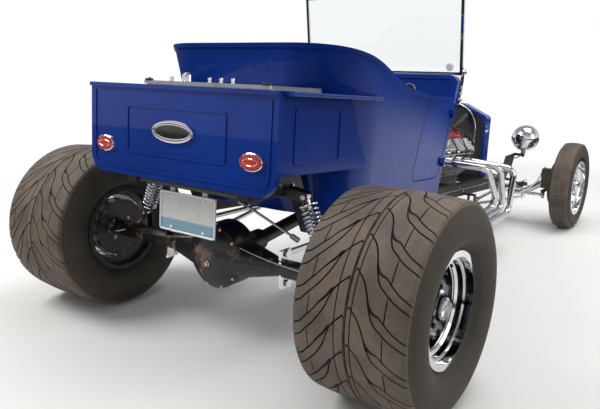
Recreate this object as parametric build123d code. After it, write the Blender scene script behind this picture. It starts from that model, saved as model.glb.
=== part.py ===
"""Street rod roadster with a short pickup bed, an open V engine and wide rear tyres.

All sizes are millimetres.  The finished model has +X towards the nose, +Y to the
car's left and +Z up, with its origin on the floor under the middle of its box.

Two working frames are used.  The ground frame has x from the rear axle and z from
the floor; the wheels and the front axle are drawn in it.  The chassis frame has its
origin at the rear axle's centre and leans nose-down by RAKE; the body, the bed, the
frame and the engine are drawn level in it and then placed by CHASSIS.
"""
from build123d import *
import math
import os
from typing import NamedTuple

# Stance
WHEELBASE = 2880.0
RAKE = 4.5
REAR_TYRE_R = 385.0
FRONT_TYRE_R = 308.0
REAR_WHEEL_Y = 851.0
FRONT_WHEEL_Y = 728.0
KINGPIN_Y = 575.0

# Tyres and rims
REAR_TREAD_W = 400.0
REAR_SECTION_W = 462.0
REAR_RIM_W = 381.0
FRONT_TREAD_W = 112.0
FRONT_SECTION_W = 146.0
FRONT_RIM_W = 122.0
BEAD_R = 190.5
FLANGE_R = 207.0
FLANGE_T = 7.0
RIM_WALL = 5.0
TYRE_SEAT_GAP = 0.3

# Body tub, in the chassis frame
WALL = 22.0
BODY_LOW = 195.0
BODY_HIGH = 900.0
BACK_X_LOW = 150.0
BACK_X_HIGH = 28.0
CORNER_R = 290.0
REAR_Y_LOW = 432.0
REAR_Y_HIGH = 548.0
DOOR_SEAM_X = 858.0
SIDE_Y_LOW = 416.0
SIDE_Y_HIGH = 530.0
COWL_SEAM_X = 1215.0
SCREEN_X = 1256.0
COWL_Y_LOW = 408.0
COWL_Y_HIGH = 492.0
FIREWALL_X = 1440.0
FIREWALL_Y_LOW = 300.0
FIREWALL_Y_HIGH = 338.0
COWL_TOP = 834.0
COWL_CORNER_R = 60.0
COWL_HALF_W = 489.0
RIM_DOOR = 719.0
RIM_BEND_R = 800.0
RIM_BEAD_H = 18.0
RIM_BEAD_OUT = 6.0
FLOOR_T = 14.0
SKIN_GAP = 0.3

# Gearbox tunnel
TUNNEL_X = 980.0
TUNNEL_Y = 125.0
TUNNEL_TOP = 345.0
TUNNEL_R = 60.0

# Door
DOOR_GAP = 5.0
DOOR_LOW = 290.0
DOOR_CORNER_R = 60.0
HINGE_OUT = 13.0
HINGE_R = 7.0
HINGE_LEN = 22.0
HINGE_IN = 85.0
HINGE_SEAM = 0.25
HINGE_LEAF = 28.0
HINGE_FLARE = 0.89

# Bed and tailgate, in the chassis frame
GATE_X = -306.0
GATE_T = 25.0
GATE_HALF_W = 500.0
GATE_LOW = 331.0
GATE_CORNER_R = 78.0
BED_TOP = 698.0
BED_LOW = 403.0
BED_Y = 472.0
BED_WALL = 20.0
BED_RAIL_Y = 545.0
BED_RAIL_H = 16.0
BEAD_W = 9.0
BEAD_H = 4.0
BED_RAIL_R = 7.0

# Frame, in the chassis frame
RAIL_W = 51.0
RAIL_H = 76.0
RAIL_Y = 305.0
RAIL_TOP = BODY_LOW
KICK_RISE = 178.0
KICK_X0 = 70.0
KICK_X1 = 165.0
RAIL_REAR_X = -248.0
RAIL_FRONT_SHARE = 0.56

# Front end, in the ground frame
AXLE_TUBE_R = 25.0
AXLE_Z = 240.0
AXLE_BEND_Y = 440.0
BOSS_R = 22.0
BOSS_H = 66.0
PIN_R = 9.0
PIN_GAP = 0.05
EAR_R = 20.0
EAR_H = 22.0
EAR_GAP = 1.0
ARM_BACK = 115.0
TIE_ROD_Z = 237.0
TIE_ROD_R = 11.0
SPRING_BACK = 87.0

# Engine, in the chassis frame
CRANK_Z = 160.0
BLOCK_X0 = 1490.0
BLOCK_X1 = 2150.0
RADIATOR_SHARE = 0.367

# Rim of the tub in the side view, and the top edge's points
RIM_POINTS = ((-40.0, 887.0), (150.0, 884.0), (560.0, 747.0), (900.0, 719.0), (1300.0, 719.0))

# Dash and gauges
DASH_X = 1222.0
DASH_T = 18.0
DASH_LOW = 640.0
GAUGES = 5
GAUGE_PITCH = 105.0
GAUGE_R = 38.0
GAUGE_Z = 745.0
GAUGE_RING = 4.0

# Seat
SEAT_FRONT_X = 800.0
SEAT_BACK_X = 330.0
RISER_TOP = 315.0
CUSHION_TOP = 440.0
SEAT_CLEAR = 4.0
BACK_TOP = 800.0
BACK_LEAN = 70.0

# Bed panels, tailgate face and tail lamps
BED_FRONT_X = 330.0
BED_FLOOR_T = 12.0
BED_PANEL = (-175.0, 125.0, 440.0, 646.0)
PANEL_R = 18.0
BED_POSTS = (-190.0, -60.0)
POST_HALF = 15.0
POST_T = 8.0
GATE_BEAD_IN = 25.0
GATE_BEAD_TOP = 668.0
GATE_PANEL_Y = 270.0
GATE_PANEL_Z = (425.0, 617.0)
GATE_LIP_Y = 500.0
GATE_LIP_OUT = 10.0
BADGE_Z = 524.5
BADGE_W = 223.0
BADGE_H = 85.0
BADGE_T = 8.0
LAMP_Y = 396.0
LAMP_Z = 451.0
LAMP_W = 106.0
LAMP_H = 66.0
LAMP_T = 16.0
LAMP_EDGE = 7.0

# Tank in the bed
TANK_X0 = -276.0
TANK_X1 = 40.0
TANK_Y0 = -440.0
TANK_Y1 = 199.0
TANK_TOP = 714.0
TANK_R = 18.0
LID_X0 = -290.0
LID_LOW = BED_TOP + 3.0
FILLER_X = -200.0
FILLER_Y = 41.0
FILLER_R = 18.0
FILLER_H = 30.0

# Crossmembers and licence plate
CROSS_X = -222.0
CROSS_R = 16.0
CROSS_Z = 311.0
MID_CROSS_X = 560.0
PLATE_W = 310.0
PLATE_H = 160.0
PLATE_T = 4.0
PLATE_X = -226.0
PLATE_LOW = 118.0
PLATE_HANG_Y = 90.0
PLATE_HANG_W = 24.0
PLATE_HANG_T = 5.0
PLATE_HANG_Z = 60.0

# Bores for a tow bar or push bar, through the rails
TOW_REAR_X = -228.0
TOW_FRONT_IN = 80.0
TOW_R = 8.0

# Headlamps and their arms
LAMP_ARM_Z = 343.0
LAMP_ARM_Y = 398.0
LAMP_ARM_R = 10.0
BRACKET_T = 8.0
HEADLAMP_OUT = 223.0
HEADLAMP_Z = 466.0
HEADLAMP_R = 93.0
STEM_R = 11.0
LENS_X = 46.0
LENS_DOME = 14.0
LENS_R = 85.0


class SidePoint(NamedTuple):
    """A corner of a side-view outline: ahead is counted from the rails' front ends."""
    ahead: float
    z: float


BRACKET = (
    SidePoint(-49.0, RAIL_TOP), SidePoint(41.0, 336.0), SidePoint(231.0, 350.0), SidePoint(231.0, 338.0),
    SidePoint(176.0, 245.0), SidePoint(0.0, 130.0), SidePoint(-49.0, 130.0),
)

# Radius rods, in the ground frame
ROD_PIN_X = 1888.0
ROD_PIN_Y = 372.0
ROD_PIN_Z = 300.0
ROD_FRONT_Y = 405.0
ROD_R = 10.0
ROD_BEND_R = 60.0
ROD_KNEE_X = 351.0
ROD_KNEE_SHARE = 0.35
ROD_KNEE_RISE = 28.0
ROD_FORK_X = 122.0
ROD_FORK_RISE = 16.0
ROD_LOW_DROP = 54.0
HANGER_Y = 20.0
HANGER_T = 6.0
HANGER_HALF = 16.0
HANGER_SHELF = 12.0
WING_X = 70.0
WING_T = 12.0
WING_Z = 140.0

# Front spring and its perch
PERCH_Z = 190.0
PERCH_T = 14.0
PERCH_Y = 45.0
PERCH_FRONT = 30.0
LEAF_T = 7.0
LEAF_W = 44.0
LEAVES = 4
LEAF_STEP = 80.0
SPRING_HALF = 392.0
SPRING_DROP = 58.0
SHACKLE_Y = 424.0
SHACKLE_DROP = 9.0
SHACKLE_R = 9.0
SHACKLE_EDGE = 2.0
ROD_UNDER_PIN = 26.0

# Engine, gearbox and what sits on them
HEAD_Y = 262.0
HEAD_LOW = 300.0
SEAT_LOW = 364.0
SEAT_RUN = 80.0
VALLEY_Z = 345.0
MOUNT_X = 1800.0
TAIL_END_X = 905.0
TAIL_R = 28.0
BELL_R = 165.0
BELL_R_BACK = 120.0
BELL_LEN = 45.0
CASE_LEN = 420.0
CASE_W = 190.0
CASE_R = 50.0
COVER_X0 = 1530.0
COVER_X1 = 2080.0
COVER_H = 52.0

PULLEY_W = 26.0


class Pulley(NamedTuple):
    """A pulley on the engine's front: its height, its radii and how far its face stands out."""
    z: float
    hub_r: float
    rim_r: float
    reach: float


FRONT_PULLEYS = (Pulley(CRANK_Z, 32.0, 80.0, 62.0), Pulley(310.0, 42.0, 68.0, 104.0))

# Headers
FLANGE_HALF = 5.0
FLANGE_END = 40.0
FLANGE_H = 64.0
HEADER_PORT_Y = HEAD_Y + FLANGE_HALF
HEADER_PORT_Z = 332.0
HEADER_RUN = 70.0
HEADER_R = 20.0
HEADER_BEND_R = 55.0


class HeaderPipe(NamedTuple):
    """One exhaust pipe: its port along the head, its two bends and its open end, each as (x, out, z)."""
    port_x: float
    top: tuple
    low: tuple
    end: tuple


HEADER_PIPES = (
    HeaderPipe(1640.0, (1674.0, 530.0, 322.0), (1963.0, 513.0, 83.0), (1720.0, 475.0, 10.0)),
    HeaderPipe(1790.0, (1837.0, 550.0, 325.0), (2017.0, 535.0, 58.0), (1700.0, 510.0, -5.0)),
    HeaderPipe(1940.0, (2035.0, 575.0, 301.0), (2030.0, 567.0, 24.0), (1690.0, 540.0, -20.0)),
)

# Radiator
SHELL_LOW = RAIL_TOP
SHELL_TOP = 697.0
SHELL_SHOULDER = 612.0
SHELL_HALF = 243.0
SHELL_T = 16.0
SHELL_R = 30.0
SHELL_CROWN_Y = 60.0
SHELL_DEPTH = 92.0
CORE_DEPTH = 48.0

# Knuckles and wheels
SPINDLE_R = 17.0
BACKING_R = 150.0
CALIPER_X = (80.0, 135.0)
CALIPER_IN = 15.0
CALIPER_Z = (-18.0, 122.0)
STUD_R = 6.0
DRUM_R = 140.0
DRUM_IN = -100.0
REAR_DISC_T = 16.0
REAR_DISC_Y = -20.0
REAR_SPOKES = 10
REAR_HUB_R = 54.0
REAR_HUB_LEN = 70.0
REAR_HUB_OUT = 12.0

# Rear axle, dampers, driveshaft and links
AXLE_TUBE_BIG = 38.0
AXLE_DRUM_R = 138.0
AXLE_DRUM_Y = 690.0
AXLE_END_Y = 756.0
AXLE_SHAFT_R = 34.0
AXLE_NOSE_X = 240.0
BANJO_R = 140.0
BANJO_HALF = 60.0
BANJO_DOME = 45.0
BANJO_SWELL = 0.78
ARM_ROOT_R = 98.0
ARM_ROOT_Y = 60.0
ARM_TIP_Y = 300.0
NOSE_R = 48.0
NOSE_RISE = 8.0
SHOCK_LOW = (10.0, 505.0, 490.0)
SHOCK_TOP = (18.0, 418.0, 690.0)
EYE_HALF = 15.0
EYE_R = 15.0
DAMPER_R = 12.0
COIL_R = 33.0
COIL_IN = 42.0
EAR_T = 6.0
EAR_LOW = 22.0
EAR_ROOT = (-2.0, 34.0)
EAR_EDGE = 16.0
JOINT_R = 13.0
SHAFT_R = 32.0
LINK_Y = 330.0
LINK_FRONT_X = 690.0
LINK_R = 12.0
LINK_SPREAD = 62.0
LINK_DROP = 22.0

# Windscreen
SCREEN_LEAN = 10.0
SCREEN_H = 430.0
SCREEN_BAR = 16.0
SCREEN_T = 14.0
SCREEN_BASE_Z = COWL_TOP + 1.6
STANCHION_LOW = 690.0
STANCHION_T = 10.0
STANCHION_W = 24.0
STANCHION_GAP = 0.9
SHOULDER_Z = 806.0
GLASS_T = 5.0

# Steering
WHEEL_HUB = (900.0, 235.0, 770.0)
COLUMN_FALL = 25.8
COLUMN_R = 19.0
STEER_RIM_R = 165.0
STEER_GRIP_R = 13.0

# Places along the frame that follow the wheelbase, as shares of the way from the engine's front to the axle
RADIATOR_X = BLOCK_X1 + RADIATOR_SHARE * (WHEELBASE - BLOCK_X1)
RAIL_FRONT_X = BLOCK_X1 + RAIL_FRONT_SHARE * (WHEELBASE - BLOCK_X1)
SPRING_X = WHEELBASE - SPRING_BACK
TOW_FRONT_X = RAIL_FRONT_X - TOW_FRONT_IN
HEADLAMP_X = RAIL_FRONT_X + HEADLAMP_OUT

REAR_AXLE_X = (REAR_TYRE_R - WHEELBASE - FRONT_TYRE_R) / 2
CHASSIS = Location((REAR_AXLE_X, 0, REAR_TYRE_R), (0, RAKE, 0))
GROUND = Location((REAR_AXLE_X, 0, 0))
GROUND_IN_CHASSIS = CHASSIS.inverse() * GROUND
SIDES = (("left", 1), ("right", -1))

os.makedirs("parts", exist_ok=True)


def save(shape, node):
    """Write one node's solids to its own file."""
    export_step(shape, f"parts/{node}.step")


def lerp(low, high, share):
    """The value a share of the way from low to high."""
    return low + (high - low) * share


def to_chassis(x, z):
    """A point of the ground frame, given in the chassis frame."""
    lift = z - REAR_TYRE_R
    turn = math.radians(RAKE)
    return x * math.cos(turn) - lift * math.sin(turn), x * math.sin(turn) + lift * math.cos(turn)


def to_ground(x, z):
    """A point of the chassis frame, given in the ground frame."""
    turn = math.radians(RAKE)
    return x * math.cos(turn) + z * math.sin(turn), REAR_TYRE_R - x * math.sin(turn) + z * math.cos(turn)


def block(x0, x1, y0, y1, z0, z1):
    """A box from its lowest to its highest corner."""
    return Pos((x0 + x1) / 2, (y0 + y1) / 2, (z0 + z1) / 2) * Box(x1 - x0, y1 - y0, z1 - z0)


def side_block(x0, x1, side, y_in, y_out, z0, z1):
    """A box on one side of the car, from y_in out to y_out."""
    low, high = sorted((side * y_in, side * y_out))
    return block(x0, x1, low, high, z0, z1)


def rod(start, end, radius):
    """A round bar between two points."""
    a = Vector(*start)
    b = Vector(*end)
    plane = Plane(origin=a, z_dir=b - a)
    return extrude(plane * Circle(radius), amount=(b - a).length)


def pipe(points, radius, bend):
    """A round bar along straight runs joined by bends of one radius."""
    path = FilletPolyline(*points, radius=bend)
    return sweep(Plane(origin=path @ 0, z_dir=path % 0) * Circle(radius), path=path)


def plan_edges(z, grow):
    """Half of the body's plan outline at height z, moved outwards by grow."""
    share = (z - BODY_LOW) / (BODY_HIGH - BODY_LOW)
    back = lerp(BACK_X_LOW, BACK_X_HIGH, share)
    rear_y = lerp(REAR_Y_LOW, REAR_Y_HIGH, share)
    side_y = lerp(SIDE_Y_LOW, SIDE_Y_HIGH, share)
    cowl_y = lerp(COWL_Y_LOW, COWL_Y_HIGH, share)
    fire_y = lerp(FIREWALL_Y_LOW, FIREWALL_Y_HIGH, share)
    taper = math.atan2(cowl_y - fire_y, FIREWALL_X - SCREEN_X)
    corner = math.tan(taper / 2)
    mitre = (1 - math.sin(taper)) / math.cos(taper)
    flat_end = (back - grow, rear_y - CORNER_R)
    radius = CORNER_R + grow
    bend = radius * math.sqrt(0.5)
    arc_mid = (back + CORNER_R - bend, rear_y - CORNER_R + bend)
    arc_end = (back + CORNER_R, rear_y + grow)
    screen = (SCREEN_X + grow * corner, cowl_y + grow)
    fire = (FIREWALL_X + grow, fire_y + grow * mitre)
    return [
        Line((back - grow, 0), flat_end),
        ThreePointArc(flat_end, arc_mid, arc_end),
        ThreePointArc(arc_end, (DOOR_SEAM_X, side_y + grow), screen),
        Line(screen, fire),
        Line(fire, (FIREWALL_X + grow, 0)),
    ]


def plan_face(z, grow):
    """The body's whole plan outline at height z."""
    half = plan_edges(z, grow)
    other = [mirror(edge, about=Plane.XZ) for edge in half]
    return Pos(0, 0, z) * make_face(half + other)


def tub_form(low, high, grow=0.0):
    """The body's outer form between two heights, grown or shrunk."""
    return loft([plan_face(low, grow), plan_face(high, grow)], ruled=True)


def rim_line(drop=0.0):
    """The body's rim seen from the side, with its sweep down to the door."""
    return FilletPolyline(*[(x, z - drop) for x, z in RIM_POINTS], radius=RIM_BEND_R)


def side_cut(line, top):
    """Everything above a side-view line."""
    start = line @ 0
    end = line @ 1
    region = make_face([line, Polyline((end.X, end.Y), (end.X, top), (start.X, top), (start.X, start.Y))])
    return extrude(Plane.XZ * region, amount=700, both=True)


def cowl_arch(inset):
    """The cowl's front-view outline, as a long bar; inset moves it inwards."""
    half = COWL_HALF_W - inset
    top = COWL_TOP - inset
    radius = COWL_CORNER_R - inset
    shape = Polyline(
        (-half, 0), (-half, top - radius)
    ) + [
        RadiusArc((-half, top - radius), (-half + radius, top), radius),
        Line((-half + radius, top), (half - radius, top)),
        RadiusArc((half - radius, top), (half, top - radius), radius),
        Polyline((half, top - radius), (half, 0), (-half, 0)),
    ]
    return extrude(Plane.YZ * make_face(shape), amount=2000)


def rounded_prism(x0, x1, z0, z1, radius, half_depth):
    """A side-view rectangle with its lower corners rounded, run across the car."""
    outline = FilletPolyline((x0, z1), (x0, z0), (x1, z0), (x1, z1), radius=radius)
    region = make_face([outline, Line((x1, z1), (x0, z1))])
    return extrude(Plane.XZ * region, amount=half_depth, both=True)


def make_body():
    """The tub, the right door and the cowl, cut from one wall."""
    skin = tub_form(BODY_LOW, BODY_HIGH) - tub_form(BODY_LOW - 1, BODY_HIGH + 1, -WALL)
    above = side_cut(rim_line(), BODY_HIGH + 200)
    bead_ring = tub_form(BODY_LOW, BODY_HIGH, RIM_BEAD_OUT) - tub_form(BODY_LOW - 1, BODY_HIGH + 1, -WALL)
    bead = (bead_ring & side_cut(rim_line(RIM_BEAD_H), BODY_HIGH)) - above
    cockpit = block(-100, COWL_SEAM_X, -700, 700, 0, 1000)
    opening = rounded_prism(DOOR_SEAM_X, COWL_SEAM_X, DOOR_LOW, 1000, DOOR_CORNER_R, 700)
    right_side = block(0, 3000, -700, 0, 0, 1200)
    tub = (skin - above) + bead
    tub = (tub & cockpit) - (opening & right_side)

    door_cut = rounded_prism(
        DOOR_SEAM_X + DOOR_GAP, COWL_SEAM_X - DOOR_GAP, DOOR_LOW + DOOR_GAP, 1000,
        DOOR_CORNER_R - DOOR_GAP, 700,
    )
    door = ((skin - above) + bead) & door_cut & right_side

    nose = block(COWL_SEAM_X + SKIN_GAP, 2000, -700, 700, 0, 1200)
    shell = tub_form(BODY_LOW, BODY_HIGH) & cowl_arch(0) & nose
    cavity = tub_form(BODY_LOW - 1, BODY_HIGH, -WALL) & cowl_arch(WALL)
    cowl = shell - cavity - tunnel_bar(TUNNEL_Y - FLOOR_T, TUNNEL_TOP - FLOOR_T, TUNNEL_R - FLOOR_T, 0, 2000)
    return tub, door, cowl


def hinge_axis():
    """Two points on the door's hinge line, just outside the skin at the front seam."""
    points = []
    for z in (DOOR_LOW + HINGE_IN, RIM_DOOR - HINGE_IN):
        share = (z - BODY_LOW) / (BODY_HIGH - BODY_LOW)
        y = lerp(lerp(SIDE_Y_LOW, SIDE_Y_HIGH, share), lerp(COWL_Y_LOW, COWL_Y_HIGH, share), HINGE_FLARE)
        points.append(Vector(COWL_SEAM_X - DOOR_GAP / 2, -(y + HINGE_OUT), z))
    return points


def make_hinges():
    """Hinge halves: the upper barrels and leaves on the door, the lower ones on the cowl."""
    low, high = hinge_axis()
    along = (high - low).normalized()
    door_half = []
    cowl_half = []
    for point in (low, high):
        base = Plane(origin=point, z_dir=along, x_dir=(1, 0, 0))
        for halves, turn in ((door_half, 1), (cowl_half, -1)):
            face = base.offset(turn * HINGE_SEAM)
            leaf = Pos(-turn * HINGE_LEAF / 2, HINGE_OUT / 2 + 1) * Rectangle(HINGE_LEAF, HINGE_OUT - 1)
            barrel = extrude(face * Circle(HINGE_R), amount=turn * HINGE_LEN)
            halves.append(barrel + extrude(face * leaf, amount=turn * HINGE_LEN))
    return door_half, cowl_half


def tunnel_bar(half, top, radius, x0, x1):
    """A round-shouldered bar along the car, for the gearbox tunnel and its openings."""
    outline = Pos(0, BODY_LOW) * RectangleRounded(2 * half, 2 * (top - BODY_LOW), radius)
    return extrude(Plane.YZ.offset(x0) * outline, amount=x1 - x0)


def make_floor():
    """Floor pan with the gearbox tunnel."""
    pan = tub_form(BODY_LOW, BODY_LOW + FLOOR_T, -WALL - SKIN_GAP)
    front = FIREWALL_X - WALL - SKIN_GAP
    bump = tunnel_bar(TUNNEL_Y, TUNNEL_TOP, TUNNEL_R, TUNNEL_X, front)
    void = tunnel_bar(TUNNEL_Y - FLOOR_T, TUNNEL_TOP - FLOOR_T, TUNNEL_R - FLOOR_T, TUNNEL_X + FLOOR_T, front + 50)
    below = block(0, 3000, -700, 700, -500, BODY_LOW)
    return (pan + bump) - void - below


def make_dash():
    """Dash panel inside the cowl's mouth with five round gauges."""
    area = tub_form(BODY_LOW, BODY_HIGH, -WALL - SKIN_GAP) & cowl_arch(WALL + SKIN_GAP)
    panel = area & block(DASH_X, DASH_X + DASH_T, -700, 700, DASH_LOW, 1200)
    for index in range(GAUGES):
        y = (index - (GAUGES - 1) / 2) * GAUGE_PITCH
        ring = Circle(GAUGE_R) - Circle(GAUGE_R - GAUGE_RING)
        panel += extrude(Plane.YZ.offset(DASH_X) * (Pos(y, GAUGE_Z) * ring), amount=-GAUGE_RING)
    return panel


def make_seat():
    """Seat riser, bench cushion and backrest shaped to the tub's inside."""
    inside = tub_form(BODY_LOW, BODY_HIGH, -WALL - SEAT_CLEAR)
    floor_top = BODY_LOW + FLOOR_T
    riser = inside & block(SEAT_BACK_X, SEAT_FRONT_X - 40, -600, 600, floor_top, RISER_TOP)
    cushion = inside & block(SEAT_BACK_X + SEAT_CLEAR, SEAT_FRONT_X, -600, 600, RISER_TOP + SKIN_GAP, CUSHION_TOP)
    lean = make_face(Polyline(
        (110, floor_top), (SEAT_BACK_X - SKIN_GAP, floor_top), (SEAT_BACK_X - SKIN_GAP, CUSHION_TOP),
        (SEAT_BACK_X - BACK_LEAN, BACK_TOP), (0, BACK_TOP), close=True,
    ))
    back = inside & extrude(Plane.XZ * lean, amount=700, both=True)
    return riser, cushion, back


def panel_ring(width, height):
    """The outline of a raised bead round a panel."""
    inner = RectangleRounded(width - 2 * BEAD_W, height - 2 * BEAD_W, PANEL_R - BEAD_W)
    return RectangleRounded(width, height, PANEL_R) - inner


def make_bed():
    """Bed box: two beaded sides with rolled rails, and a floor, trimmed round the tub."""
    x0 = GATE_X + GATE_T
    bed = block(x0, BED_FRONT_X, -BED_Y, BED_Y, BED_LOW, BED_LOW + BED_FLOOR_T)
    panel_x0, panel_x1, panel_low, panel_high = BED_PANEL
    ring = panel_ring(panel_x1 - panel_x0, panel_high - panel_low)
    ring = Pos((panel_x0 + panel_x1) / 2, (panel_low + panel_high) / 2) * ring
    bar = RectangleRounded(BED_RAIL_Y - BED_Y + BED_WALL, BED_RAIL_H, BED_RAIL_R)
    bar = extrude(Plane.YZ * bar, amount=BED_FRONT_X - x0)
    for _, side in SIDES:
        bed += side_block(x0, BED_FRONT_X, side, BED_Y - BED_WALL, BED_Y, BED_LOW, BED_TOP)
        bed += Pos(x0, side * (BED_Y - BED_WALL + BED_RAIL_Y) / 2, BED_TOP - BED_RAIL_H / 2) * bar
        bed += Pos(0, side * BED_Y, 0) * extrude(Plane.XZ * ring, amount=BEAD_H, both=True)
    return bed - tub_form(BODY_LOW, BODY_HIGH, RIM_BEAD_OUT + 1)


def gate_outline(inset):
    """Tailgate outline in the front view with its lower corners rounded."""
    half = GATE_HALF_W - inset
    low = GATE_LOW + inset
    edge = FilletPolyline((-half, BED_TOP), (-half, low), (half, low), (half, BED_TOP), radius=GATE_CORNER_R - inset)
    return make_face([edge, Line((half, BED_TOP), (-half, BED_TOP))])


def make_tailgate():
    """Tailgate with its U bead, middle panel, top lip and blank oval badge."""
    face = Plane.YZ.offset(GATE_X)
    gate = extrude(face * gate_outline(0), amount=GATE_T)
    u_bead = gate_outline(GATE_BEAD_IN) - gate_outline(GATE_BEAD_IN + BEAD_W)
    u_bead -= Pos(0, BED_TOP) * Rectangle(2 * GATE_HALF_W, 2 * (BED_TOP - GATE_BEAD_TOP))
    gate += extrude(face * u_bead, amount=-BEAD_H)
    low, high = GATE_PANEL_Z
    ring = panel_ring(2 * GATE_PANEL_Y, high - low)
    gate += extrude(face * (Pos(0, (low + high) / 2) * ring), amount=-BEAD_H)
    lip = Pos(0, BED_TOP - BED_RAIL_H / 2) * RectangleRounded(2 * GATE_LIP_Y, BED_RAIL_H, BED_RAIL_R)
    gate += extrude(face.offset(-GATE_LIP_OUT) * lip, amount=GATE_T + GATE_LIP_OUT - SKIN_GAP)
    badge = Pos(0, BADGE_Z) * Ellipse(BADGE_W / 2, BADGE_H / 2)
    gate += extrude(face * badge, amount=-BADGE_T)
    return gate


def make_tail_lamps():
    """Two oval lamps on the tailgate."""
    lamps = []
    for _, side in SIDES:
        face = Plane(origin=(GATE_X, side * LAMP_Y, LAMP_Z), x_dir=(0, 1, 0), z_dir=(-1, 0, 0))
        front = face.offset(LAMP_T) * Ellipse(LAMP_W / 2 - LAMP_EDGE, LAMP_H / 2 - LAMP_EDGE)
        lamps.append(loft([face * Ellipse(LAMP_W / 2, LAMP_H / 2), front]))
    return Compound(children=lamps)


def make_tank():
    """Aluminium tank in the bed, with its flat lid over the tailgate's edge and its filler cap."""
    box = block(TANK_X0, TANK_X1, TANK_Y0, TANK_Y1, BED_LOW + BED_FLOOR_T, TANK_TOP)
    box = fillet(box.edges().filter_by(Axis.Z), TANK_R)
    lid = block(LID_X0, TANK_X1, TANK_Y0, TANK_Y1, LID_LOW, TANK_TOP)
    box += fillet(lid.edges().filter_by(Axis.Z), TANK_R)
    cap = Pos(FILLER_X, FILLER_Y, TANK_TOP + FILLER_H / 2) * Cylinder(FILLER_R, FILLER_H)
    return box + cap


def make_plate():
    """Blank licence plate on a bracket below the rear crossmember, seen from behind."""
    back = PLATE_X + PLATE_T
    plate = block(PLATE_X, back, -PLATE_W / 2, PLATE_W / 2, PLATE_LOW, PLATE_LOW + PLATE_H)
    for _, side in SIDES:
        y_in = PLATE_HANG_Y - PLATE_HANG_W / 2
        plate += side_block(back, back + PLATE_HANG_T, side, y_in, y_in + PLATE_HANG_W,
                            PLATE_LOW + PLATE_HANG_Z, CROSS_Z - CROSS_R)
    return plate


def make_rail(side):
    """One frame rail: a boxed tube that kicks up over the rear axle, with its brackets."""
    high = RAIL_TOP + KICK_RISE
    low = RAIL_TOP - RAIL_H
    top = [(RAIL_REAR_X, high), (KICK_X0, high), (KICK_X1, RAIL_TOP), (RAIL_FRONT_X, RAIL_TOP)]
    under = [(x, z - RAIL_H) for x, z in reversed(top)]
    rail = extrude(Plane.XZ * make_face(Polyline(*top, *under, close=True)), amount=RAIL_W / 2, both=True)
    rail = Pos(0, side * RAIL_Y, 0) * rail
    rail -= Pos(TOW_REAR_X, side * RAIL_Y, high - RAIL_H / 2) * Cylinder(TOW_R, 2 * RAIL_H)
    rail -= Pos(TOW_FRONT_X, side * RAIL_Y, RAIL_TOP - RAIL_H / 2) * Cylinder(TOW_R, 2 * RAIL_W, rotation=(90, 0, 0))

    outer = RAIL_Y + RAIL_W / 2
    bracket = make_face(Polyline(*[(RAIL_FRONT_X + point.ahead, point.z) for point in BRACKET], close=True))
    bracket = extrude(Plane.XZ * bracket, amount=BRACKET_T / 2, both=True)
    rail += Pos(0, side * (outer + BRACKET_T / 2), 0) * bracket
    arm_end = side * (LAMP_ARM_Y + LAMP_ARM_R)
    rail += rod((HEADLAMP_X, side * (outer + 1), LAMP_ARM_Z), (HEADLAMP_X, arm_end, LAMP_ARM_Z), LAMP_ARM_R)

    pin_x, pin_z = to_chassis(ROD_PIN_X, ROD_PIN_Z)
    x0 = pin_x - HANGER_HALF
    x1 = pin_x + HANGER_HALF
    for offset in (-HANGER_Y, HANGER_Y):
        y_in = ROD_PIN_Y + offset - HANGER_T / 2
        rail += side_block(x0, x1, side, y_in, y_in + HANGER_T, pin_z - HANGER_HALF, low + HANGER_SHELF)
    rail += side_block(x0, x1, side, RAIL_Y, ROD_PIN_Y + HANGER_Y + HANGER_T / 2, low, low + HANGER_SHELF)
    for x in BED_POSTS:
        rail += side_block(x - POST_HALF, x + POST_HALF, side, RAIL_Y - POST_T / 2, RAIL_Y + POST_T / 2,
                           high - 1, BED_LOW)
    x, y, z = SHOCK_TOP
    ear = make_face(Polyline(
        (side * RAIL_Y, z + EAR_ROOT[0]), (side * (y - EAR_EDGE), z - EAR_LOW), (side * (y + EAR_EDGE), z - EAR_LOW),
        (side * (y + EAR_EDGE), z + EAR_EDGE), (side * RAIL_Y, z + EAR_ROOT[1]), close=True,
    ))
    for start in (x - EYE_HALF - SKIN_GAP - EAR_T, x + EYE_HALF + SKIN_GAP):
        rail += GROUND_IN_CHASSIS * extrude(Plane.YZ.offset(start) * ear, amount=EAR_T)
    return rail


def make_crossmembers():
    """Cross tubes between the rails, and the spring perch at the front."""
    inner = RAIL_Y - RAIL_W / 2
    low = RAIL_TOP - RAIL_H
    bars = []
    for x, z in ((CROSS_X, CROSS_Z), (MID_CROSS_X, RAIL_TOP - CROSS_R - 4)):
        bars.append(rod((x, -inner, z), (x, inner, z), CROSS_R))
    bars.append(block(TAIL_END_X + 30, TAIL_END_X + 90, -inner, inner, low, CRANK_Z - TAIL_R - SKIN_GAP))
    bars.append(block(RADIATOR_X - 34, RADIATOR_X + 34, -inner, inner, RAIL_TOP - 32, RAIL_TOP))
    front = block(RAIL_FRONT_X - RAIL_W, RAIL_FRONT_X, -inner, inner, low, RAIL_TOP)
    front += block(RAIL_FRONT_X - 1, SPRING_X + PERCH_FRONT, -PERCH_Y, PERCH_Y, PERCH_Z, PERCH_Z + PERCH_T)
    gusset = make_face(Polyline(
        (RAIL_FRONT_X - 1, low), (RAIL_FRONT_X - 1, PERCH_Z + 1), (SPRING_X - LEAF_W, PERCH_Z + 1), close=True,
    ))
    for y in (-PERCH_Y + WING_T, PERCH_Y - WING_T / 2):
        front += Pos(0, y, 0) * extrude(Plane.XZ * gusset, amount=WING_T / 2)
    bars.append(front)
    return Compound(children=bars)


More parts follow.
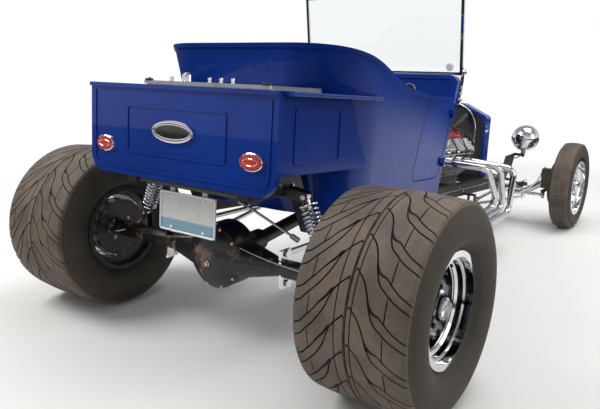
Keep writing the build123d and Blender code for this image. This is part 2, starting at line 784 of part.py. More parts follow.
def make_engine():
    """The V engine as one closed casting: crankcase, banks with heads, sump, side mounts and front pulleys."""
    half = [(0, CRANK_Z - 60), (112, CRANK_Z - 60), (150, CRANK_Z - 20), (160, CRANK_Z + 50),
            (HEAD_Y - 22, CRANK_Z + 112), (HEAD_Y, HEAD_LOW), (HEAD_Y, SEAT_LOW),
            (HEAD_Y - SEAT_RUN, SEAT_LOW + SEAT_RUN), (110, VALLEY_Z), (0, VALLEY_Z)]
    other = [(-y, z) for y, z in reversed(half[1:-1])]
    section = make_face(Polyline(*half, *other, close=True))
    body = extrude(Plane.YZ.offset(BLOCK_X0) * section, amount=BLOCK_X1 - BLOCK_X0)
    body += block(BLOCK_X0 + 60, BLOCK_X1 - 120, -105, 105, CRANK_Z - 175, CRANK_Z - 60)
    for _, side in SIDES:
        body += side_block(MOUNT_X - 30, MOUNT_X + 30, side, 140, RAIL_Y - RAIL_W / 2, RAIL_TOP - 50, RAIL_TOP - 12)
    for row in FRONT_PULLEYS:
        body += Pos(0, 0, row.z) * rod((BLOCK_X1 - 1, 0, 0), (BLOCK_X1 + row.reach, 0, 0), row.hub_r)
        body += Pos(0, 0, row.z) * rod((BLOCK_X1 + row.reach - PULLEY_W, 0, 0), (BLOCK_X1 + row.reach, 0, 0), row.rim_r)
    return body


def make_gearbox():
    """Gearbox and bell housing under the tunnel."""
    bell = loft([
        Plane.YZ.offset(BLOCK_X0 - SKIN_GAP) * Circle(BELL_R),
        Plane.YZ.offset(BLOCK_X0 - BELL_LEN) * Circle(BELL_R_BACK),
    ])
    case_end = BLOCK_X0 - BELL_LEN - CASE_LEN
    case = extrude(Plane.YZ.offset(case_end) * RectangleRounded(CASE_W, CASE_W, CASE_R), amount=CASE_LEN)
    tail = extrude(Plane.YZ.offset(TAIL_END_X) * Circle(TAIL_R), amount=case_end - TAIL_END_X)
    return Pos(0, 0, CRANK_Z) * (bell + case + tail)


def make_valve_covers():
    """Two ribbed rocker covers."""
    covers = []
    middle = SEAT_RUN / 2
    half = SEAT_RUN * math.sqrt(0.5) - 4
    for _, side in SIDES:
        place = Pos(0, side * (HEAD_Y - middle), SEAT_LOW + middle) * Rot(side * -45, 0, 0)
        box = block(COVER_X0, COVER_X1, -half, half, 0, COVER_H)
        box = fillet(box.edges().group_by(Axis.Z)[-1], 16)
        covers.append(place * box)
    return Compound(children=covers)


def make_intake():
    """Intake manifold, carburettor and round air cleaner."""
    x = (BLOCK_X0 + BLOCK_X1) / 2
    base = block(x - 250, x + 250, -88, 88, VALLEY_Z, VALLEY_Z + 75)
    carb = block(x - 75, x + 75, -55, 55, VALLEY_Z + 75, VALLEY_Z + 160)
    cleaner = Pos(x, 0, VALLEY_Z + 190) * Cylinder(115, 60)
    return base + carb + cleaner


def make_header(side):
    """Three exhaust pipes that leave the head, turn down and run back outside the frame."""
    ports = [row.port_x for row in HEADER_PIPES]
    header = block(min(ports) - FLANGE_END, max(ports) + FLANGE_END, -FLANGE_HALF, FLANGE_HALF,
                   HEADER_PORT_Z - FLANGE_H / 2, HEADER_PORT_Z + FLANGE_H / 2)
    header = Pos(0, side * HEADER_PORT_Y, 0) * header
    for row in HEADER_PIPES:
        corners = [(row.port_x, HEADER_PORT_Y - FLANGE_HALF, HEADER_PORT_Z),
                   (row.port_x, HEADER_PORT_Y + HEADER_RUN, HEADER_PORT_Z), row.top, row.low, row.end]
        header += pipe([(x, side * out, z) for x, out, z in corners], HEADER_R, HEADER_BEND_R)
    return header


def shell_outline(inset):
    """Radiator shell outline in the front view."""
    half = SHELL_HALF - inset
    shoulder = SHELL_SHOULDER - inset
    top = SHELL_TOP - inset
    edge = FilletPolyline(
        (-half, SHELL_LOW), (-half, shoulder), (-SHELL_CROWN_Y, top), (SHELL_CROWN_Y, top),
        (half, shoulder), (half, SHELL_LOW), radius=SHELL_R,
    )
    return make_face([edge, Line((half, SHELL_LOW), (-half, SHELL_LOW))])


def make_radiator():
    """Blue shell with a rolled edge, and the dark core inside it."""
    x0 = RADIATOR_X - SHELL_DEPTH / 2
    shell = extrude(Plane.YZ.offset(x0) * shell_outline(0), amount=SHELL_DEPTH)
    shell -= extrude(Plane.YZ.offset(x0 - 1) * shell_outline(SHELL_T), amount=SHELL_DEPTH + 2)
    core_x = RADIATOR_X - CORE_DEPTH / 2
    core = extrude(Plane.YZ.offset(core_x) * shell_outline(SHELL_T + SKIN_GAP), amount=CORE_DEPTH)
    return shell, core


def make_front_axle():
    """Dropped tube axle with kingpin bosses and the kingpins in them."""
    boss_z = FRONT_TYRE_R
    points = [(WHEELBASE, -KINGPIN_Y, boss_z), (WHEELBASE, -KINGPIN_Y + 45, boss_z - 8),
              (WHEELBASE, -AXLE_BEND_Y, AXLE_Z), (WHEELBASE, AXLE_BEND_Y, AXLE_Z),
              (WHEELBASE, KINGPIN_Y - 45, boss_z - 8), (WHEELBASE, KINGPIN_Y, boss_z)]
    axle = pipe(points, AXLE_TUBE_R, 40)
    for _, side in SIDES:
        clear = Pos(WHEELBASE, side * (KINGPIN_Y + 50), boss_z) * Box(200, 100, 200)
        axle -= clear
        axle += Pos(WHEELBASE, side * KINGPIN_Y, boss_z) * Cylinder(BOSS_R + 3, BOSS_H)
        axle += Pos(WHEELBASE, side * KINGPIN_Y, boss_z) * Cylinder(PIN_R, BOSS_H + 2 * (EAR_H + EAR_GAP + 3))
    return axle


def spring_eye(side):
    """Middle of a front spring eye, in the ground frame."""
    x, z = to_ground(SPRING_X, PERCH_Z - SPRING_DROP - LEAF_T / 2)
    return Vector(x, side * SPRING_HALF, z)


def make_front_spring():
    """Transverse leaf spring under the perch with its shackles, in the chassis frame."""
    radius = (SPRING_HALF ** 2 + SPRING_DROP ** 2) / (2 * SPRING_DROP)
    spring = None
    for index in range(LEAVES):
        reach = math.asin((SPRING_HALF - LEAF_STEP * index) / radius)
        outer = radius - LEAF_T * index
        inner = outer - LEAF_T
        ends = [(turn * r * math.sin(reach), PERCH_Z - radius + r * math.cos(reach))
                for turn, r in ((-1, outer), (1, outer), (1, inner), (-1, inner))]
        top = ThreePointArc(ends[0], (0, PERCH_Z - radius + outer), ends[1])
        under = ThreePointArc(ends[2], (0, PERCH_Z - radius + inner), ends[3])
        section = make_face([top, Line(ends[1], ends[2]), under, Line(ends[3], ends[0])])
        leaf = extrude(Plane.YZ.offset(SPRING_X - LEAF_W / 2) * section, amount=LEAF_W)
        spring = leaf if spring is None else spring + leaf
    wing_back = WHEELBASE - WING_X / 2 - SKIN_GAP
    for _, side in SIDES:
        eye = spring_eye(side)
        pin_y = side * SHACKLE_Y
        pin_z = eye.Z - SHACKLE_DROP
        half = LEAF_W / 2 + EAR_T + 2
        upper = rod((eye.X - half, eye.Y, eye.Z), (eye.X + half, eye.Y, eye.Z), SHACKLE_R + SHACKLE_EDGE)
        lower = rod((eye.X - half, pin_y, pin_z), (wing_back, pin_y, pin_z), SHACKLE_R)
        spring += GROUND_IN_CHASSIS * (upper + lower)
        plate = SlotCenterToCenter(SHACKLE_Y - SPRING_HALF, 2 * (SHACKLE_R + SHACKLE_EDGE))
        turn = math.degrees(math.atan2(-SHACKLE_DROP, pin_y - eye.Y))
        place = Pos((eye.Y + pin_y) / 2, eye.Z - SHACKLE_DROP / 2) * Rot(0, 0, turn)
        for start in (-half, half - EAR_T):
            spring += GROUND_IN_CHASSIS * extrude(Plane.YZ.offset(eye.X + start) * (place * plate), amount=EAR_T)
    return spring


def make_radius_rods():
    """Hairpin rods from the axle back to the brackets under the frame."""
    rods = []
    front_x = WHEELBASE - WING_X / 2
    for _, side in SIDES:
        y_front = side * ROD_FRONT_Y
        y_back = side * ROD_PIN_Y
        shackle_z = spring_eye(side).Z - SHACKLE_DROP
        pin = (ROD_PIN_X, y_back, ROD_PIN_Z)
        knee = (ROD_PIN_X + ROD_KNEE_X, lerp(y_back, y_front, ROD_KNEE_SHARE), ROD_PIN_Z + ROD_KNEE_RISE)
        upper = pipe([(front_x, y_front, shackle_z - ROD_UNDER_PIN), knee,
                      (ROD_PIN_X + ROD_FORK_X, y_back, ROD_PIN_Z + ROD_FORK_RISE), pin], ROD_R, ROD_BEND_R)
        lower = pipe([(front_x, y_front, AXLE_Z - ROD_LOW_DROP),
                      (ROD_PIN_X + ROD_FORK_X, y_back, ROD_PIN_Z - ROD_FORK_RISE), pin], ROD_R, ROD_BEND_R)
        wing = Pos(WHEELBASE, y_front, AXLE_Z) * Box(WING_X, WING_T, WING_Z)
        wing -= Pos(WHEELBASE, y_front, AXLE_Z) * Cylinder(AXLE_TUBE_R + SKIN_GAP, WING_T + 2, rotation=(90, 0, 0))
        tab = SHACKLE_R + 2 * SHACKLE_EDGE
        wing += side_block(front_x, front_x + WING_T, side, ROD_FRONT_Y, SHACKLE_Y + tab,
                           shackle_z - tab, shackle_z + tab)
        length = 2 * (HANGER_Y - HANGER_T / 2 - SKIN_GAP)
        end = Pos(*pin) * Cylinder(HANGER_HALF, length, rotation=(90, 0, 0))
        rods.append(upper + lower + wing + end)
    return Compound(children=rods)


def make_knuckle(side):
    """Steering knuckle: kingpin ears, web, spindle, backing plate and steering arm."""
    pin = Vector(WHEELBASE, side * KINGPIN_Y, FRONT_TYRE_R)
    ear_mid = BOSS_H / 2 + EAR_GAP + EAR_H / 2
    web_y = side * (KINGPIN_Y + BOSS_R + 14)
    knuckle = Pos(pin.X, web_y, pin.Z) * Box(56, 12, BOSS_H + 2 * (EAR_H + EAR_GAP))
    for level in (-1, 1):
        ear = Cylinder(EAR_R, EAR_H)
        ear += Pos(0, side * 20, 0) * Box(40, 40, EAR_H)
        knuckle += Pos(pin.X, pin.Y, pin.Z + level * ear_mid) * ear
    knuckle += rod((pin.X, web_y, pin.Z), (pin.X, side * (FRONT_WHEEL_Y - 6), pin.Z), SPINDLE_R)
    knuckle += rod((pin.X, web_y, pin.Z), (pin.X, web_y + side * 12, pin.Z), BACKING_R)
    knuckle += side_block(pin.X - CALIPER_X[1], pin.X - CALIPER_X[0], side, KINGPIN_Y - CALIPER_IN, abs(web_y),
                          pin.Z + CALIPER_Z[0], pin.Z + CALIPER_Z[1])
    arm_z = pin.Z - ear_mid
    arm_end = pin.X - ARM_BACK
    knuckle += block(arm_end, pin.X, pin.Y - 10, pin.Y + 10, arm_z - 9, arm_z + 9)
    knuckle += Pos(arm_end, pin.Y, arm_z) * Cylinder(15, 18)
    knuckle += rod((arm_end, pin.Y, arm_z), (arm_end, pin.Y, TIE_ROD_Z - 18), STUD_R)
    for level in (-1, 1):
        knuckle -= Pos(pin.X, pin.Y, pin.Z + level * ear_mid) * Cylinder(PIN_R + PIN_GAP, EAR_H + 4)
    return knuckle


def make_tie_rod():
    """Tie rod between the two steering arms, behind the axle."""
    x = WHEELBASE - ARM_BACK
    bar = rod((x, -KINGPIN_Y + 8, TIE_ROD_Z), (x, KINGPIN_Y - 8, TIE_ROD_Z), TIE_ROD_R)
    for _, side in SIDES:
        bar += Pos(x, side * KINGPIN_Y, TIE_ROD_Z) * Cylinder(14, 24)
    for _, side in SIDES:
        bar -= Pos(x, side * KINGPIN_Y, TIE_ROD_Z) * Cylinder(STUD_R + PIN_GAP, 30)
    return bar


def tyre_profile(outer, tread, section, rim):
    """Half a tyre's outline: bead, bulged sidewall, shoulder and crowned tread."""
    bead_y = rim / 2 - FLANGE_T - TYRE_SEAT_GAP
    seat = BEAD_R + TYRE_SEAT_GAP
    shoulder = outer - 8
    side_r = lerp(FLANGE_R, outer, 0.42)
    face_y = section / 2
    edge = [
        Line((seat, 0), (seat, bead_y)),
        Line((seat, bead_y), (FLANGE_R + 4, bead_y)),
        ThreePointArc((FLANGE_R + 4, bead_y), (side_r, face_y), (shoulder - 14, tread / 2 + 8)),
        ThreePointArc((shoulder - 14, tread / 2 + 8), (shoulder - 3, tread / 2 + 3), (shoulder, tread / 2 - 8)),
    ]
    return edge, (shoulder, tread / 2 - 8)


def make_tyre(outer, tread, section, rim, centre):
    """A tyre turned about the wheel's axle."""
    edges, last = tyre_profile(outer, tread, section, rim)
    mirrored = [mirror(edge, about=Plane.XZ) for edge in edges]
    crown = ThreePointArc(last, (outer, 0), (last[0], -last[1]))
    profile = make_face(edges + mirrored + [crown])
    return Pos(*centre) * revolve(profile, axis=Axis.Y)


def rim_barrel(rim, side, steps):
    """The rim's barrel: flanges, bead seats and well; steps narrow the outer mouth."""
    half = rim / 2
    seat = BEAD_R
    well = BEAD_R - 28
    outer = [(FLANGE_R, -half), (FLANGE_R, -half + FLANGE_T), (seat, -half + FLANGE_T), (seat, -half + 40),
             (well, -half + 62), (well, half - 62), (seat, half - 40), (seat, half - FLANGE_T),
             (FLANGE_R, half - FLANGE_T), (FLANGE_R, half)]
    inner = [(seat - RIM_WALL, half)] + steps + [(well - RIM_WALL, -half + 66), (seat - RIM_WALL, -half + 44),
                                                 (seat - RIM_WALL, -half)]
    points = [(r, side * y) for r, y in outer + inner]
    return revolve(make_face(Polyline(*points, close=True)), axis=Axis.Y)


def make_rear_wheel(side):
    """Deep rear wheel with a stepped lip and a spoked centre."""
    half = REAR_RIM_W / 2
    well = BEAD_R - 28 - RIM_WALL
    steps = [(BEAD_R - RIM_WALL, half - 30), (BEAD_R - 18, half - 34), (BEAD_R - 18, half - 62), (well, half - 68)]
    wheel = rim_barrel(REAR_RIM_W, side, steps)
    disc = Cylinder(well + 1, REAR_DISC_T, rotation=(90, 0, 0))
    for index in range(REAR_SPOKES):
        turn = Rot(0, 360 / REAR_SPOKES * index, 0)
        window = Plane.XZ * (Pos(108, 0) * RectangleRounded(66, 48, 14))
        disc -= turn * extrude(window, amount=40, both=True)
    hub = Cylinder(REAR_HUB_R, REAR_HUB_LEN, rotation=(90, 0, 0))
    wheel += Pos(0, side * REAR_DISC_Y, 0) * (disc + Pos(0, side * REAR_HUB_OUT, 0) * hub)
    return Pos(0, side * REAR_WHEEL_Y, REAR_TYRE_R) * wheel


def make_front_wheel(side):
    """Narrow front wheel with a dished centre, hub and brake drum."""
    half = FRONT_RIM_W / 2
    well = BEAD_R - 28 - RIM_WALL
    bore = SPINDLE_R + SKIN_GAP
    outer = [(FLANGE_R, -half), (FLANGE_R, -half + 6), (BEAD_R, -half + 6), (BEAD_R, -half + 24),
             (well + 5, -half + 38), (well + 5, half - 46), (BEAD_R, half - 30), (BEAD_R, half - 6),
             (FLANGE_R, half - 6), (FLANGE_R, half)]
    inner = [(BEAD_R - 5, half), (BEAD_R - 5, half - 26), (well, half - 42), (well, -half + 42),
             (BEAD_R - 5, -half + 28), (BEAD_R - 5, -half)]
    dish = [(bore, 14), (60, 14), (80, 8), (well + 1, -4), (well + 1, 6), (84, 18), (62, 24), (32, 24),
            (32, 52), (26, 60), (0, 62), (0, 4), (bore, 4)]
    drum = [(bore, DRUM_IN), (DRUM_R, DRUM_IN), (DRUM_R, -30), (DRUM_R - 8, -22), (40, -14), (40, 14), (bore, 14)]
    wheel = None
    for profile in (outer + inner, dish, drum):
        face = make_face(Polyline(*[(r, side * y) for r, y in profile], close=True))
        turned = revolve(face, axis=Axis.Y)
        wheel = turned if wheel is None else wheel + turned
    return Pos(WHEELBASE, side * FRONT_WHEEL_Y, FRONT_TYRE_R) * wheel


def make_rear_axle():
    """Live axle: banjo housing with its domed cover, tapered tubes, drums, shaft ends and damper brackets."""
    shaft_end = REAR_WHEEL_Y + REAR_DISC_Y + REAR_HUB_OUT - REAR_HUB_LEN / 2 - SKIN_GAP
    half = [(ARM_ROOT_R, ARM_ROOT_Y), (AXLE_TUBE_BIG, ARM_TIP_Y), (AXLE_TUBE_BIG, AXLE_DRUM_Y),
            (AXLE_DRUM_R, AXLE_DRUM_Y), (AXLE_DRUM_R, AXLE_END_Y), (AXLE_SHAFT_R, AXLE_END_Y),
            (AXLE_SHAFT_R, shaft_end), (0, shaft_end)]
    other = [(r, -y) for r, y in reversed(half)]
    axle = revolve(make_face(Polyline(*half, *other, close=True)), axis=Axis.Y)
    crest = -BANJO_HALF - BANJO_DOME
    dome_mid = (-BANJO_HALF - BANJO_DOME * BANJO_SWELL, BANJO_R / 2)
    banjo = make_face([
        Line((crest, 0), (BANJO_HALF, 0)), Line((BANJO_HALF, 0), (BANJO_HALF, BANJO_R)),
        Line((BANJO_HALF, BANJO_R), (-BANJO_HALF, BANJO_R)),
        ThreePointArc((-BANJO_HALF, BANJO_R), dome_mid, (crest, 0)),
    ])
    axle += revolve(Plane.XZ * banjo, axis=Axis.X)
    axle += rod((0, 0, 0), (AXLE_NOSE_X, 0, NOSE_RISE), NOSE_R)
    axle = Pos(0, 0, REAR_TYRE_R) * axle
    x, y, z = SHOCK_LOW
    for _, side in SIDES:
        for start in (x - EYE_HALF - SKIN_GAP - EAR_T, x + EYE_HALF + SKIN_GAP):
            axle += side_block(start, start + EAR_T, side, y - 20, y + 20, REAR_TYRE_R, z + EAR_EDGE)
    return axle


def make_coil_over(side):
    """Damper with its coil spring drawn as a close tube."""
    low = Vector(SHOCK_LOW[0], side * SHOCK_LOW[1], SHOCK_LOW[2])
    top = Vector(SHOCK_TOP[0], side * SHOCK_TOP[1], SHOCK_TOP[2])
    along = (top - low).normalized()
    body = rod(tuple(low), tuple(top), DAMPER_R)
    body += rod(tuple(low + along * COIL_IN), tuple(top - along * COIL_IN), COIL_R)
    for end in (low, top):
        body += Pos(*tuple(end)) * Cylinder(EYE_R, 2 * EYE_HALF, rotation=(0, 90, 0))
    return body


def skin_y(z):
    """Half the body's width at the windscreen, at height z."""
    return lerp(COWL_Y_LOW, COWL_Y_HIGH, (z - BODY_LOW) / (BODY_HIGH - BODY_LOW))


def make_windscreen():
    """Chrome windscreen frame with its side stanchions, and the flat glass in it."""
    inner = skin_y(SHOULDER_Z) + STANCHION_GAP
    half = inner + STANCHION_T
    low_inner = skin_y(STANCHION_LOW) + STANCHION_GAP
    lean = Pos(SCREEN_X, 0, SCREEN_BASE_Z) * Rot(0, -SCREEN_LEAN, 0)
    centre = Pos(0, SCREEN_H / 2)
    outline = centre * RectangleRounded(2 * half, SCREEN_H, SCREEN_T)
    opening = centre * Rectangle(2 * (half - SCREEN_BAR), SCREEN_H - 2 * SCREEN_BAR)
    frame = lean * extrude(Plane.YZ * (outline - opening), amount=SCREEN_T / 2, both=True)
    top = SCREEN_BASE_Z + 2 * SCREEN_BAR
    for _, side in SIDES:
        section = [(low_inner, STANCHION_LOW), (inner, SHOULDER_Z), (inner, top), (half, top), (half, SHOULDER_Z),
                   (low_inner + STANCHION_T, STANCHION_LOW)]
        face = make_face(Polyline(*[(side * y, z) for y, z in section], close=True))
        frame += extrude(Plane.YZ.offset(SCREEN_X - 4) * face, amount=STANCHION_W)
    gap = SCREEN_BAR + SKIN_GAP
    pane = centre * Rectangle(2 * (half - gap), SCREEN_H - 2 * gap)
    glass = lean * extrude(Plane.YZ * pane, amount=GLASS_T / 2, both=True)
    return frame, glass


def make_steering():
    """Column from the firewall to the wheel, and the three-spoked wheel on its end."""
    run = Vector(math.cos(math.radians(COLUMN_FALL)), 0, -math.sin(math.radians(COLUMN_FALL)))
    hub = Vector(*WHEEL_HUB)
    end = FIREWALL_X - WALL - SKIN_GAP
    column = rod(tuple(hub + run * 40), tuple(hub + run * 640), COLUMN_R)
    column -= block(end, 2500, -700, 700, 0, 1200)
    drop = hub.Z - (DASH_X - hub.X) * math.tan(math.radians(COLUMN_FALL))
    column += block(DASH_X + 1, DASH_X + DASH_T - 1, hub.Y - 15, hub.Y + 15, drop, DASH_LOW - SKIN_GAP)
    place = Plane(origin=hub, x_dir=(0, 1, 0), z_dir=run)
    wheel = place.location * Torus(STEER_RIM_R, STEER_GRIP_R)
    wheel += place.location * Pos(0, 0, 18) * Cylinder(30, 43)
    for turn in (90, 210, 330):
        spoke = Pos(STEER_RIM_R / 2, 0, 8) * Box(STEER_RIM_R, 26, 6)
        wheel += place.location * Rot(0, 0, turn) * spoke
    return column, wheel


def make_headlamp(side):
    """Chrome bullet lamp on a short stem."""
    edge = [
        Line((-78, 0), (LENS_X, 0)), Line((LENS_X, 0), (LENS_X, HEADLAMP_R)),
        Line((LENS_X, HEADLAMP_R), (LENS_X - 12, HEADLAMP_R)),
        ThreePointArc((LENS_X - 12, HEADLAMP_R), (-42, 68), (-78, 0)),
    ]
    bowl = revolve(Plane.XZ * make_face(edge), axis=Axis.X)
    low = LAMP_ARM_Z + LAMP_ARM_R + SKIN_GAP - HEADLAMP_Z
    bowl += rod((0, 0, low), (0, 0, -70), STEM_R)
    return Pos(HEADLAMP_X, side * LAMP_ARM_Y, HEADLAMP_Z) * bowl


def make_lenses():
    """Domed glass fronts of the two headlamps."""
    ball = (LENS_R ** 2 + LENS_DOME ** 2) / (2 * LENS_DOME)
    half = LENS_R / 2
    crest = LENS_X + LENS_DOME
    mid = (crest - ball + math.sqrt(ball ** 2 - half ** 2), half)
    edge = [Line((LENS_X, 0), (LENS_X, LENS_R)), ThreePointArc((LENS_X, LENS_R), mid, (crest, 0)),
            Line((crest, 0), (LENS_X, 0))]
    lens = revolve(Plane.XZ * make_face(edge), axis=Axis.X)
    return Compound(children=[Pos(HEADLAMP_X, side * LAMP_ARM_Y, HEADLAMP_Z) * lens for _, side in SIDES])


def make_driveshaft():
    """Tube shaft with a joint at each end, from the gearbox tail to the axle's nose."""
    start = Vector(TAIL_END_X - SKIN_GAP - JOINT_R, 0, CRANK_Z)
    x, z = to_chassis(AXLE_NOSE_X + JOINT_R + 1, REAR_TYRE_R + NOSE_RISE)
    end = Vector(x, 0, z)
    along = (end - start).normalized()
    shaft = rod(tuple(start + along * 8), tuple(end - along * 8), SHAFT_R)
    for joint in (start, end):
        shaft += Pos(*tuple(joint)) * Sphere(JOINT_R)
    return shaft


def make_rear_links():
    """Ladder bars from the axle tubes forward to the frame, one each side."""
    links = []
    rail_low = RAIL_TOP - RAIL_H
    front_x, front_z = to_ground(LINK_FRONT_X, rail_low - LINK_DROP)
    for _, side in SIDES:
        y = side * LINK_Y
        front = (front_x, y, front_z)
        bar = rod((8, y, REAR_TYRE_R + LINK_SPREAD), front, LINK_R)
        bar += rod((8, y, REAR_TYRE_R - LINK_SPREAD), front, LINK_R)
        bar += Pos(*front) * Cylinder(LINK_DROP - 4, 30, rotation=(90, 0, 0))
        plate = Pos(0, y, REAR_TYRE_R) * Box(64, WING_T, 2 * LINK_SPREAD + 34)
        plate -= Pos(0, y, REAR_TYRE_R) * Cylinder(AXLE_TUBE_BIG + SKIN_GAP, WING_T + 2, rotation=(90, 0, 0))
        tab = block(LINK_FRONT_X - 12, LINK_FRONT_X + 12, y - 5, y + 5, rail_low - LINK_DROP, rail_low - SKIN_GAP)
        links.append(bar + plate + GROUND_IN_CHASSIS.inverse() * tab)
    return Compound(children=links)


def main():
    """Build every node and write it."""
    tub, door, cowl = make_body()
    door_hinges, cowl_hinges = make_hinges()
    for piece in door_hinges:
        door += piece
    for piece in cowl_hinges:
        cowl += piece
    save(CHASSIS * tub, "body_tub")
    save(CHASSIS * door, "door_right")
    save(CHASSIS * cowl, "cowl")
    save(CHASSIS * make_floor(), "floor_pan")
    save(CHASSIS * make_dash(), "dashboard")
    riser, cushion, back = make_seat()
    save(CHASSIS * riser, "seat_riser")
    save(CHASSIS * cushion, "seat_cushion")
    save(CHASSIS * back, "seat_back")
    save(CHASSIS * make_bed(), "bed")
    save(CHASSIS * make_tailgate(), "tailgate")
    save(CHASSIS * make_tail_lamps(), "tail_lamps")
    save(CHASSIS * make_tank(), "bed_tank")
    save(CHASSIS * make_plate(), "licence_plate")
    save(CHASSIS * make_crossmembers(), "crossmembers")
    save(CHASSIS * make_engine(), "engine_block")
    save(CHASSIS * make_gearbox(), "gearbox")
    save(CHASSIS * make_valve_covers(), "valve_covers")
    save(CHASSIS * make_intake(), "intake")
    shell, core = make_radiator()
    save(CHASSIS * shell, "radiator_shell")
    save(CHASSIS * core, "radiator_core")
    frame, glass = make_windscreen()
    save(CHASSIS * frame, "windscreen_frame")
    save(CHASSIS * glass, "windscreen_glass")
    column, wheel = make_steering()
    save(CHASSIS * column, "steering_column")
    save(CHASSIS * wheel, "steering_wheel")
    save(CHASSIS * make_lenses(), "headlamp_lenses")
    save(CHASSIS * make_driveshaft(), "driveshaft")
    save(GROUND * make_rear_links(), "rear_links")
    save(CHASSIS * make_front_spring(), "front_spring")
    save(GROUND * make_front_axle(), "front_axle")
    save(GROUND * make_radius_rods(), "radius_rods")
    save(GROUND * make_tie_rod(), "tie_rod")
    save(GROUND * make_rear_axle(), "rear_axle")
    rear = (REAR_TYRE_R, REAR_TREAD_W, REAR_SECTION_W, REAR_RIM_W)
    front = (FRONT_TYRE_R, FRONT_TREAD_W, FRONT_SECTION_W, FRONT_RIM_W)
    for name, side in SIDES:
        save(CHASSIS * make_rail(side), f"frame_rail_{name}")
        save(CHASSIS * make_header(side), f"header_{name}")
        save(CHASSIS * make_headlamp(side), f"headlamp_{name}")
        save(GROUND * make_knuckle(side), f"knuckle_{name}")
        save(GROUND * make_coil_over(side), f"coil_over_{name}")
        save(GROUND * make_rear_wheel(side), f"rear_wheel_{name}")
        save(GROUND * make_front_wheel(side), f"front_wheel_{name}")
        save(GROUND * make_tyre(*rear, (0, side * REAR_WHEEL_Y, REAR_TYRE_R)), f"rear_tyre_{name}")
        centre = (WHEELBASE, side * FRONT_WHEEL_Y, FRONT_TYRE_R)
        save(GROUND * make_tyre(*front, centre), f"front_tyre_{name}")


if __name__ == "__main__":
    main()
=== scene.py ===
"""Looks of the street rod roadster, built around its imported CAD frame.

The CAD nodes keep their places and get procedural finishes.  Tyres, coil springs,
upholstery and small trim are surfaces worked out here with numpy.  New pieces are drawn
in millimetres in one of two working frames, as the part's source does: the ground frame
has x from the rear axle and z from the floor, and the chassis frame has its origin at the
rear axle's centre and leans nose-down by the rake.
"""
from __future__ import annotations

import logging
import math
from dataclasses import dataclass, field
from enum import Enum
from typing import Sequence

import bmesh
import bpy
import numpy as np
from mathutils import Matrix, Vector

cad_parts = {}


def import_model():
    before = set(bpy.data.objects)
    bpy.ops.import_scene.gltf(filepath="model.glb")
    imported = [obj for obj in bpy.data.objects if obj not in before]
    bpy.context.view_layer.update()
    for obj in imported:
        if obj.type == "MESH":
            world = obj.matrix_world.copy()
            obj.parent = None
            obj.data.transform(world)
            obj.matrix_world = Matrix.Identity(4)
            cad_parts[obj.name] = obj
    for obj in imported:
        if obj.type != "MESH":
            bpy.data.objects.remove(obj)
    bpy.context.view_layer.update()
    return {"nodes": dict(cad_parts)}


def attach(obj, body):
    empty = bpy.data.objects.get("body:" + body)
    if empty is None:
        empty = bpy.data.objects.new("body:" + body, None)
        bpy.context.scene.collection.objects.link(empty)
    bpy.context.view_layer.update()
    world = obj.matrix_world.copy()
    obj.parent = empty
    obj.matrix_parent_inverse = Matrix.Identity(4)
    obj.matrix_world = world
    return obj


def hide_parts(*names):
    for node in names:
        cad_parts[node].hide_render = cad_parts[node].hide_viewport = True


log = logging.getLogger("street_rod")

MM = 0.001
RAKE = math.radians(4.5)
AXLE_X = -1401.5
AXLE_Z = 385.0
WHEELBASE = 2880.0
FRONT_R = 308.0
REAR_Y = 851.0
FRONT_Y = 728.0
SHARP = math.radians(32)
WELD = 1e-4 * MM
FORE, AFT = (1, 0, 0), (-1, 0, 0)
UP, DOWN = (0, 0, 1), (0, 0, -1)

Pair = tuple[float, float]
Spot = tuple[float, float, float]
Colour = Spot
Points = np.ndarray
Socket = bpy.types.NodeSocket


class Side(Enum):
    """Which side of the car a piece is on; the value is the sign of y."""

    LEFT = 1
    RIGHT = -1

    @property
    def word(self) -> str:
        """The side's name as the CAD nodes write it."""
        return self.name.lower()


class Frame(Enum):
    """The working frame that a piece is drawn in."""

    GROUND = "ground"
    CHASSIS = "chassis"

    def place(self, points: Points) -> Points:
        """Moves points of this frame into the row's frame, still in millimetres.

        Args:
            points: an array whose last axis is x, y, z.

        Returns:
            The moved array.
        """
        moved = points.copy()
        if self is Frame.CHASSIS:
            moved[..., 0] = points[..., 0] * math.cos(RAKE) + points[..., 2] * math.sin(RAKE)
            moved[..., 2] = AXLE_Z - points[..., 0] * math.sin(RAKE) + points[..., 2] * math.cos(RAKE)
        moved[..., 0] += AXLE_X
        return moved


# Shapes: each returns a grid of points, rows along the first parameter


def smooth_path(knots: Sequence[Pair], at: Points) -> Points:
    """A smooth curve through knots: cubic pieces whose slopes come from the neighbours.

    Args:
        knots: pairs of (parameter, value) in rising order.
        at: the parameters to read the curve at.

    Returns:
        The curve's values, held level outside the knots.
    """
    x, y = np.array(knots, float).T
    slope = np.gradient(y, x)
    at = np.clip(at, x[0], x[-1])
    i = np.clip(np.searchsorted(x, at) - 1, 0, len(x) - 2)
    h = x[i + 1] - x[i]
    t = (at - x[i]) / h
    return ((2 * t**3 - 3 * t**2 + 1) * y[i] + (t**3 - 2 * t**2 + t) * h * slope[i]
            + (3 * t**2 - 2 * t**3) * y[i + 1] + (t**3 - t**2) * h * slope[i + 1])


def full_turn(count: int) -> Points:
    """Evenly spaced angles once round, from 0."""
    return np.linspace(0, math.tau, count, endpoint=False)


def basis(direction: Sequence[float], up: Sequence[float] = UP) -> Points:
    """Two unit vectors across a direction, and the direction itself.

    Args:
        direction: the direction, of any length.
        up: a hint for the vectors across.

    Returns:
        Rows of three unit vectors, the direction last.
    """
    w = np.array(direction, float) / np.linalg.norm(direction)
    seed = np.array(up, float)
    if abs(w @ seed) > 0.95:
        seed = np.array((1.0, 0.0, 0.0))
    u = np.cross(seed, w)
    u /= np.linalg.norm(u)
    return np.array([u, np.cross(w, u), w])


